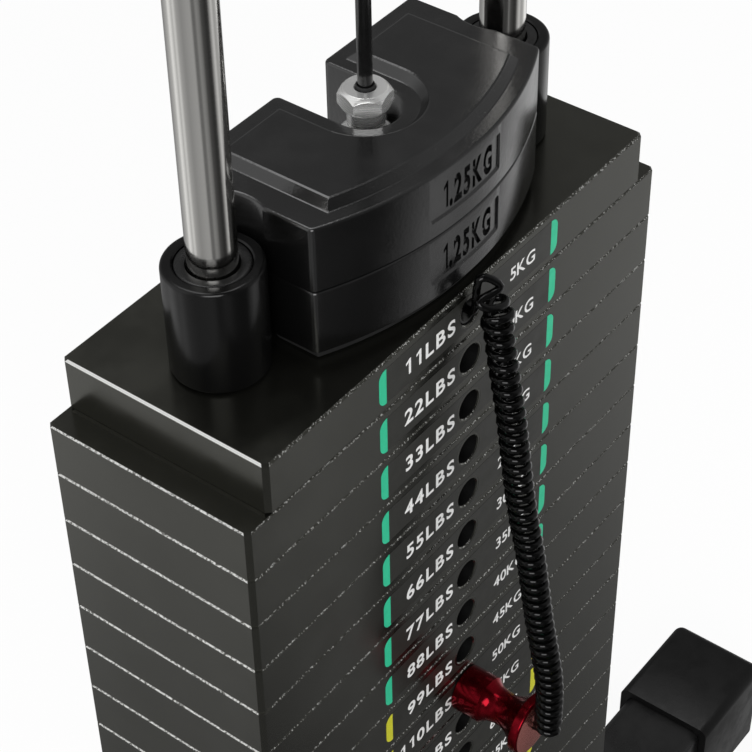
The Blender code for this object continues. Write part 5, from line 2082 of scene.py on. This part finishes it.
@dataclass
class StandBase(SubAssembly):
    """The foot beam with its caps, the rods' seats, their screws and the rubber buffers."""

    beam_corner: float = 0.006
    beam_wall: float = 0.003
    cap_wall: float = 0.005
    cap_corner: float = 0.006
    cap_draft: float = 0.9
    cap_edge: float = 0.0006
    cap_angle: float = 50.0
    seat_thickness: float = 0.008
    seat_edge: float = 0.0008
    boss_radius: float = 0.0150
    boss_edge: float = 0.001
    rod_radius: float = 0.0096
    rod_play: float = 0.0008
    waves: int = 3
    steps_per_wave: int = 24
    wave_depth: float = 0.0045
    screw: HexagonScrew = HexagonScrew(0.004, 0.013, 0.0014, 0.0002, 0.0004, HOLE_SIDES)

    def build(self) -> None:
        """Make the stand's lower pieces."""
        self.build_beam()
        for side, sign in zip(SIDES, (-1, 1)):
            self.build_cap(side, sign)
            self.build_seat(side)
            self.build_buffer(side)
            seat = span("rod_seat_left")[0].z + self.seat_thickness + SEAT_GAP
            for end in ENDS:
                self.fix(f"zinc_seat_screw_{side}_{end}", self.screw, seat, f"seat_screw_{side}_{end}")

    def screw_holes(self, *sides: str) -> Points:
        """Places along X and radii of the holes for the seats' screws."""
        nodes = [f"seat_screw_{side}_{end}" for side in sides for end in ENDS]
        return [(across(node), self.screw.radius + SEAT_GAP) for node in nodes]

    def build_beam(self) -> None:
        """Make the square tube with the holes for the seats' screws."""
        low, high = span("foot_beam")
        height, width, length = high.z - low.z, high.y - low.y, high.x - low.x
        wall = self.beam_wall
        lying = Matrix.Translation((low.x, 0.0, height / 2)) @ Matrix.Rotation(math.radians(90), 4, "Y")
        outer = rounded_rectangle(height, width, self.beam_corner)
        inner = rounded_rectangle(height - 2 * wall, width - 2 * wall, self.beam_corner - wall)
        mesh = as_mesh(moved(loft([(outer, 0.0), (outer, length)]), lying))
        bore = moved(loft([(inner, -wall), (inner, length + wall)]), lying)
        mesh = combined(mesh, bore, Operation.CUT)
        mesh = bored(mesh, self.screw_holes(*SIDES), height - 2 * wall, height + wall, HOLE_SIDES)
        self.place("square_beam", smoothed(mesh), "beam_paint", Body.STAND, Slot.BLACK_PAINT, "foot_beam")

    def arch(self, width: float, height: float, radius: float) -> Points:
        """Section of a cap, flat below and round at its top corners.

        Args:
            width: Its width.
            height: Its height.
            radius: Radius of its corners.

        Returns:
            Points of (height, y).
        """
        points = [(0.0, width / 2), (0.0, -width / 2)]
        for corner, side in ((3, -1), (0, 1)):
            for step in range(ARC_STEPS + 1):
                angle = (corner + step / ARC_STEPS) * math.pi / 2
                rise = height - radius + radius * math.cos(angle)
                points.append((rise, side * (width / 2 - radius) + radius * math.sin(angle)))
        return points

    def build_cap(self, side: str, sign: int) -> None:
        """Make one moulded cap over the beam's end, open below.

        Args:
            side: Its side.
            sign: The way along X that it closes.
        """
        node = f"foot_cap_{side}"
        low, high = span(node)
        width, height = high.y - low.y, high.z - low.z
        radius, length = self.cap_corner, high.x - low.x
        levels = [(self.arch(width, height, radius), 0.0)]
        for cosine, sine in quarter(ARC_STEPS):
            inset = radius * (1 - cosine) * self.cap_draft
            arch = self.arch(width - 2 * inset, height - inset, radius - inset)
            levels.append((arch, length - radius * (1 - sine)))
        beam_low, beam_high = span("foot_beam")
        beam_width = beam_high.y - beam_low.y + 2 * SEAT_GAP
        pocket = self.arch(beam_width, beam_high.z + SEAT_GAP, self.beam_corner)
        below = [(rise - (self.cap_wall if rise == 0.0 else 0.0), y) for rise, y in pocket]
        tool = loft([(below, -self.cap_wall), (below, length - self.cap_wall)])
        mesh = combined(as_mesh(loft(levels)), tool, Operation.CUT)
        upright = Matrix(((0, 0, sign, 0), (0, sign, 0, 0), (1, 0, 0, 0), (0, 0, 0, 1)))
        mouth = high.x if sign < 0 else low.x
        mesh.transform(Matrix.Translation((mouth, 0.0, 0.0)) @ upright)
        mesh.flip_normals()
        mesh = machined(mesh, self.cap_edge, self.cap_angle)
        self.place(f"moulded_cap_{side}", mesh, "cap_plastic", Body.STAND, Slot.PLASTIC, node)

    def build_seat(self, side: str) -> None:
        """Make one flanged socket that a rod stands in.

        Args:
            side: Its side.
        """
        node = f"rod_seat_{side}"
        low, high = span(node)
        middle, edge = across(node), self.seat_edge
        length, width = high.x - low.x, high.y - low.y
        top = low.z + self.seat_thickness
        outline = rounded_rectangle(length, width, width / 5)
        soft = rounded_rectangle(length - 2 * edge, width - 2 * edge, width / 5 - edge)
        mesh = as_mesh(loft([(outline, low.z), (outline, top - edge), (soft, top)]))
        boss = bar(self.boss_radius, low.z + self.seat_thickness / 2, high.z, self.boss_edge)
        mesh = combined(mesh, boss, Operation.ADD)
        under, over = low.z - CUTTER_REACH, high.z + CUTTER_REACH
        bore = bar(self.rod_radius + SEAT_GAP, under, over, sides=HEAD_SIDES)
        mesh = combined(mesh, bore, Operation.CUT)
        holes = [(x - middle, radius) for x, radius in self.screw_holes(side)]
        mesh = smoothed(bored(mesh, holes, under, high.z, HOLE_SIDES))
        mesh.transform(Matrix.Translation((middle, 0.0, 0.0)))
        self.place(f"socket_{side}", mesh, "beam_paint", Body.STAND, Slot.BLACK_PAINT, node)

    def build_buffer(self, side: str) -> None:
        """Make one waisted rubber spring over the seat's boss.

        Args:
            side: Its side.
        """
        node = f"stack_buffer_{side}"
        low, high = span(node)
        boss_top = span(f"rod_seat_{side}")[1].z + SEAT_GAP
        outer = (high.y - low.y) / 2
        amplitude = self.wave_depth / 2
        wide, narrow = self.boss_radius + SEAT_GAP, self.rod_radius + self.rod_play
        section = [(narrow, high.z), (narrow, boss_top), (wide, boss_top), (wide, low.z)]
        steps = self.steps_per_wave * self.waves
        for step in range(steps + 1):
            share = step / steps
            swell = amplitude * math.cos(2 * math.pi * self.waves * share)
            section.append((outer - amplitude - swell, low.z + share * (high.z - low.z)))
        mesh = smoothed(turned(section, x=across(node)), MACHINED_ANGLE)
        self.place(f"rubber_spring_{side}", mesh, "buffer_rubber", Body.STAND, Slot.RUBBER, node)


@dataclass
class TopYoke(SubAssembly):
    """The bar across the rods' tops, its screws and the cable's guide."""

    fixing_x: float = 0.050
    fixing_radius: float = 0.0055
    bar_edge: float = 0.001
    bar_end_steps: int = 24
    guide_radius: float = 0.0107
    guide_lead: float = 0.001
    bore: float = 0.0034
    rim: float = 0.0160
    screw: HexagonScrew = HexagonScrew(
        0.006, 0.018, 0.0018, 0.0003, 0.0005, CABLE_SIDES, washer_radius=0.0125, washer_thickness=0.0025,
        head_sunk=0.001,
    )

    def build(self) -> None:
        """Make the bar, the guide and the screws."""
        self.build_bar()
        self.build_guide()
        seat = span("top_yoke")[1].z + SEAT_GAP
        for side in SIDES:
            self.fix(f"flanged_screw_{side}", self.screw, seat, f"rod_screw_{side}")

    def build_bar(self) -> None:
        """Make the flat bar with round ends and its holes."""
        low, high = span("top_yoke")
        length, width = high.x - low.x, high.y - low.y
        round_end = width / 2 - SEAT_GAP

        def outline(inset: float) -> Points:
            """The bar's plan, drawn in."""
            size = (length - 2 * inset, width - 2 * inset, round_end - inset)
            return rounded_rectangle(*size, self.bar_end_steps)

        mesh = as_mesh(slab(outline, low.z, high.z, self.bar_edge))
        rod_x = across("guide_rod_right")
        holes = [(0.0, self.guide_radius + SEAT_GAP)]
        for sign in (-1, 1):
            holes.append((sign * rod_x, self.screw.radius + SEAT_GAP))
            holes.append((sign * self.fixing_x, self.fixing_radius))
        mesh = bored(mesh, holes, low.z - CUTTER_REACH, high.z + CUTTER_REACH, SMALL_SIDES)
        self.place("tie_bar", smoothed(mesh), "beam_paint", Body.STAND, Slot.BLACK_PAINT, "top_yoke")

    def build_guide(self) -> None:
        """Make the flanged bush that the cable runs through."""
        low, high = span("cable_guide")
        flange = span("top_yoke")[1].z + SEAT_GAP
        bore, lead = self.bore, self.guide_lead
        section = [(bore + 2 * lead, low.z), (self.guide_radius, low.z), (self.guide_radius, flange)]
        section += rounded_step(self.rim, flange, high.z, lead)
        section += [(bore + lead, high.z), (bore + lead / 3, high.z - lead / 3), (bore, high.z - lead)]
        mesh = turned([*section, (bore, low.z + 2 * lead)])
        self.place("guide_bush", mesh, "bush_plastic", Body.STAND, Slot.PLASTIC, "cable_guide")


# Studio


@dataclass(frozen=True)
class SoftBox:
    """A square lamp that looks at the stack."""

    name: str
    place: Point3
    size: float
    power: float
    mirrored: bool = True
    aim: Point3 = (0.0, 0.0, 0.6)

    def build(self) -> None:
        """Make the lamp, which shiny pieces mirror only where it says so."""
        data = bpy.data.lights.new(self.name, "AREA")
        data.shape = "SQUARE"
        data.size = self.size
        data.energy = self.power
        lamp = linked(self.name, data)
        lamp.location = self.place
        way = Vector(self.aim) - Vector(self.place)
        lamp.rotation_euler = way.to_track_quat("-Z", "Y").to_euler()
        lamp.visible_glossy = self.mirrored


@dataclass
class Studio:
    """A white floor and room, soft lamps and the photograph's view."""

    eye: Point3 = (-0.53798, -0.42583, 1.20092)
    right: Point3 = (0.60676, -0.79470, -0.01678)
    up: Point3 = (0.54017, 0.39675, 0.74216)
    lens: float = 104.902
    sensor: float = 36.0
    clip: Point2 = (0.01, 60.0)
    room_strength: float = 0.55
    room_heights: Point2 = (0.05, 0.85)
    room_shades: Point2 = (1.0, 0.80)
    room_bands: tuple[Point2, ...] = (
        (-180, 0.22), (-110, 0.08), (-80, 0.12), (-58, 0.36), (-30, 0.36), (-5, 0.34), (20, 0.22),
        (62, 0.22), (95, 0.30), (122, 0.90), (160, 0.90), (180, 0.35),
    )
    floor_size: float = 14.0
    floor_drop: float = 0.0002
    floor_shade: float = 0.92
    floor_roughness: float = 0.9
    floor_reach: Point2 = (0.10, 1.00)
    floor_fade: Point2 = (0.15, 1.0)
    floor_seen: float = 0.9
    floor_bands: tuple[Point2, ...] = (
        (-180, 0.28), (-160, 0.34), (-144, 0.37), (-137, 0.14), (-130, 0.14), (-122, 0.26), (-112, 0.20),
        (-103, 0.07), (-94, 0.05), (-84, 0.03), (-74, 0.04), (-64, 0.34), (-54, 0.62), (-42, 0.36),
        (-28, 0.46), (-14, 0.96), (4, 0.95), (20, 0.30), (38, 0.22), (80, 0.28), (112, 0.50),
        (124, 0.88), (133, 0.76), (141, 0.48), (150, 0.74), (160, 0.40), (180, 0.28),
    )
    boxes: tuple[SoftBox, ...] = (
        SoftBox("key_box", (-2.2, -1.6, 1.9), 1.8, 42.0),
        SoftBox("fill_box", (1.8, -2.2, 1.6), 1.6, 26.0, mirrored=False),
        SoftBox("top_box", (0.3, 0.6, 3.0), 1.6, 18.0),
    )

    def build(self) -> None:
        """Make the camera, the world, the lamps and the floor."""
        self.build_camera()
        self.build_world()
        for box in self.boxes:
            box.build()
        self.build_floor()
        bpy.context.scene.view_settings.view_transform = "Standard"

    def build_camera(self) -> None:
        """Put the camera at the photograph's place."""
        data = bpy.data.cameras.new("view")
        data.lens = self.lens
        data.sensor_width = self.sensor
        data.clip_start, data.clip_end = self.clip
        camera = linked("view", data)
        right, up = Vector(self.right).normalized(), Vector(self.up).normalized()
        back = right.cross(up).normalized()
        turn = Matrix((right, back.cross(right).normalized(), back)).transposed().to_4x4()
        camera.matrix_world = Matrix.Translation(self.eye) @ turn
        bpy.context.scene.camera = camera

    def build_world(self) -> None:
        """Make the room, white for the camera, with dark bands for what metal mirrors."""
        world = bpy.data.worlds.new("studio")
        bpy.context.scene.world = world
        world.use_nodes = True
        tree = Tree(world.node_tree.nodes, world.node_tree.links)
        x, y, z = tree.parts(tree.add("ShaderNodeTexCoord").outputs["Generated"])
        shade = tree.remap(z, self.room_heights, self.room_shades)
        bands = tree.multiplied(tree.bands(x, y, self.room_bands), tree.grey(shade))
        soft = tree.nodes["Background"]
        soft.inputs["Color"].default_value = WHITE
        soft.inputs["Strength"].default_value = self.room_strength
        mirror = tree.add("ShaderNodeBackground", {"Color": bands, "Strength": 1.0})
        white = tree.add("ShaderNodeBackground", {"Color": WHITE, "Strength": 1.0})
        path = tree.add("ShaderNodeLightPath").outputs
        lit = {0: path["Is Glossy Ray"], 1: soft.outputs[0], 2: mirror.outputs[0]}
        metal = tree.add("ShaderNodeMixShader", lit)
        seen = {0: path["Is Camera Ray"], 1: metal.outputs[0], 2: white.outputs[0]}
        mix = tree.add("ShaderNodeMixShader", seen)
        tree.links.new(mix.outputs[0], tree.nodes["World Output"].inputs["Surface"])

    def floor_finish(self) -> Material:
        """The floor's white, with dark bands for what metal mirrors, and painted shade in what metal mirrors
        near the stack.

        Returns:
            The material.
        """
        finish = Finish("white_floor")
        finish.set("Base Color", (*neutral(self.floor_shade), 1.0))
        finish.set("Roughness", self.floor_roughness)
        finish.set("Specular IOR Level", 0.0)
        # Painted shade: what metal mirrors of the floor is darker near the stack, standing in for the
        # stack's shadow on the floor.
        x, y, _ = finish.parts(finish.add("ShaderNodeNewGeometry").outputs["Position"])
        squares = [finish.maths("MULTIPLY", part, part) for part in (x, y)]
        reach = finish.maths("SQRT", finish.maths("ADD", *squares))
        painted_shade_near_stack = finish.remap(reach, self.floor_reach, self.floor_fade)
        mirror = finish.mixed(painted_shade_near_stack, BLACK, finish.bands(x, y, self.floor_bands))
        path = finish.add("ShaderNodeLightPath").outputs
        color = finish.mixed(path["Is Glossy Ray"], WHITE, mirror)
        glow = finish.add("ShaderNodeEmission", {"Color": color})
        camera = finish.maths("MULTIPLY", path["Is Camera Ray"], self.floor_seen)
        seen = finish.maths("MAXIMUM", camera, path["Is Glossy Ray"])
        mix = finish.add("ShaderNodeMixShader", {0: seen, 1: finish.shader.outputs[0], 2: glow.outputs[0]})
        finish.links.new(mix.outputs[0], finish.nodes["Material Output"].inputs["Surface"])
        return finish.material

    def build_floor(self) -> None:
        """Make a white floor that keeps the stack's shadow."""
        shape = bmesh.new()
        bmesh.ops.create_grid(shape, x_segments=2, y_segments=2, size=self.floor_size / 2)
        floor = linked("floor", as_mesh(shape))
        floor.location.z = -self.floor_drop
        floor.data.materials.append(self.floor_finish())


def write_sizes() -> None:
    """Bring the view layer up to date."""
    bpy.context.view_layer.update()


def main() -> None:
    """Build the studio and every sub-assembly, in order."""
    logging.basicConfig(level=logging.INFO, format="%(message)s")
    Studio().build()
    palette = Palette()
    kinds = [
        Lanyard, Ferrule, SelectorPin, PlateStack, AddOnWeights, RodsAndCollars, StemAndCable, StandBase,
        TopYoke,
    ]
    for kind in kinds:
        kind(palette).build()
        LOG.info("built %s", kind.__name__)
    write_sizes()


if __name__ == "__main__":
    main()
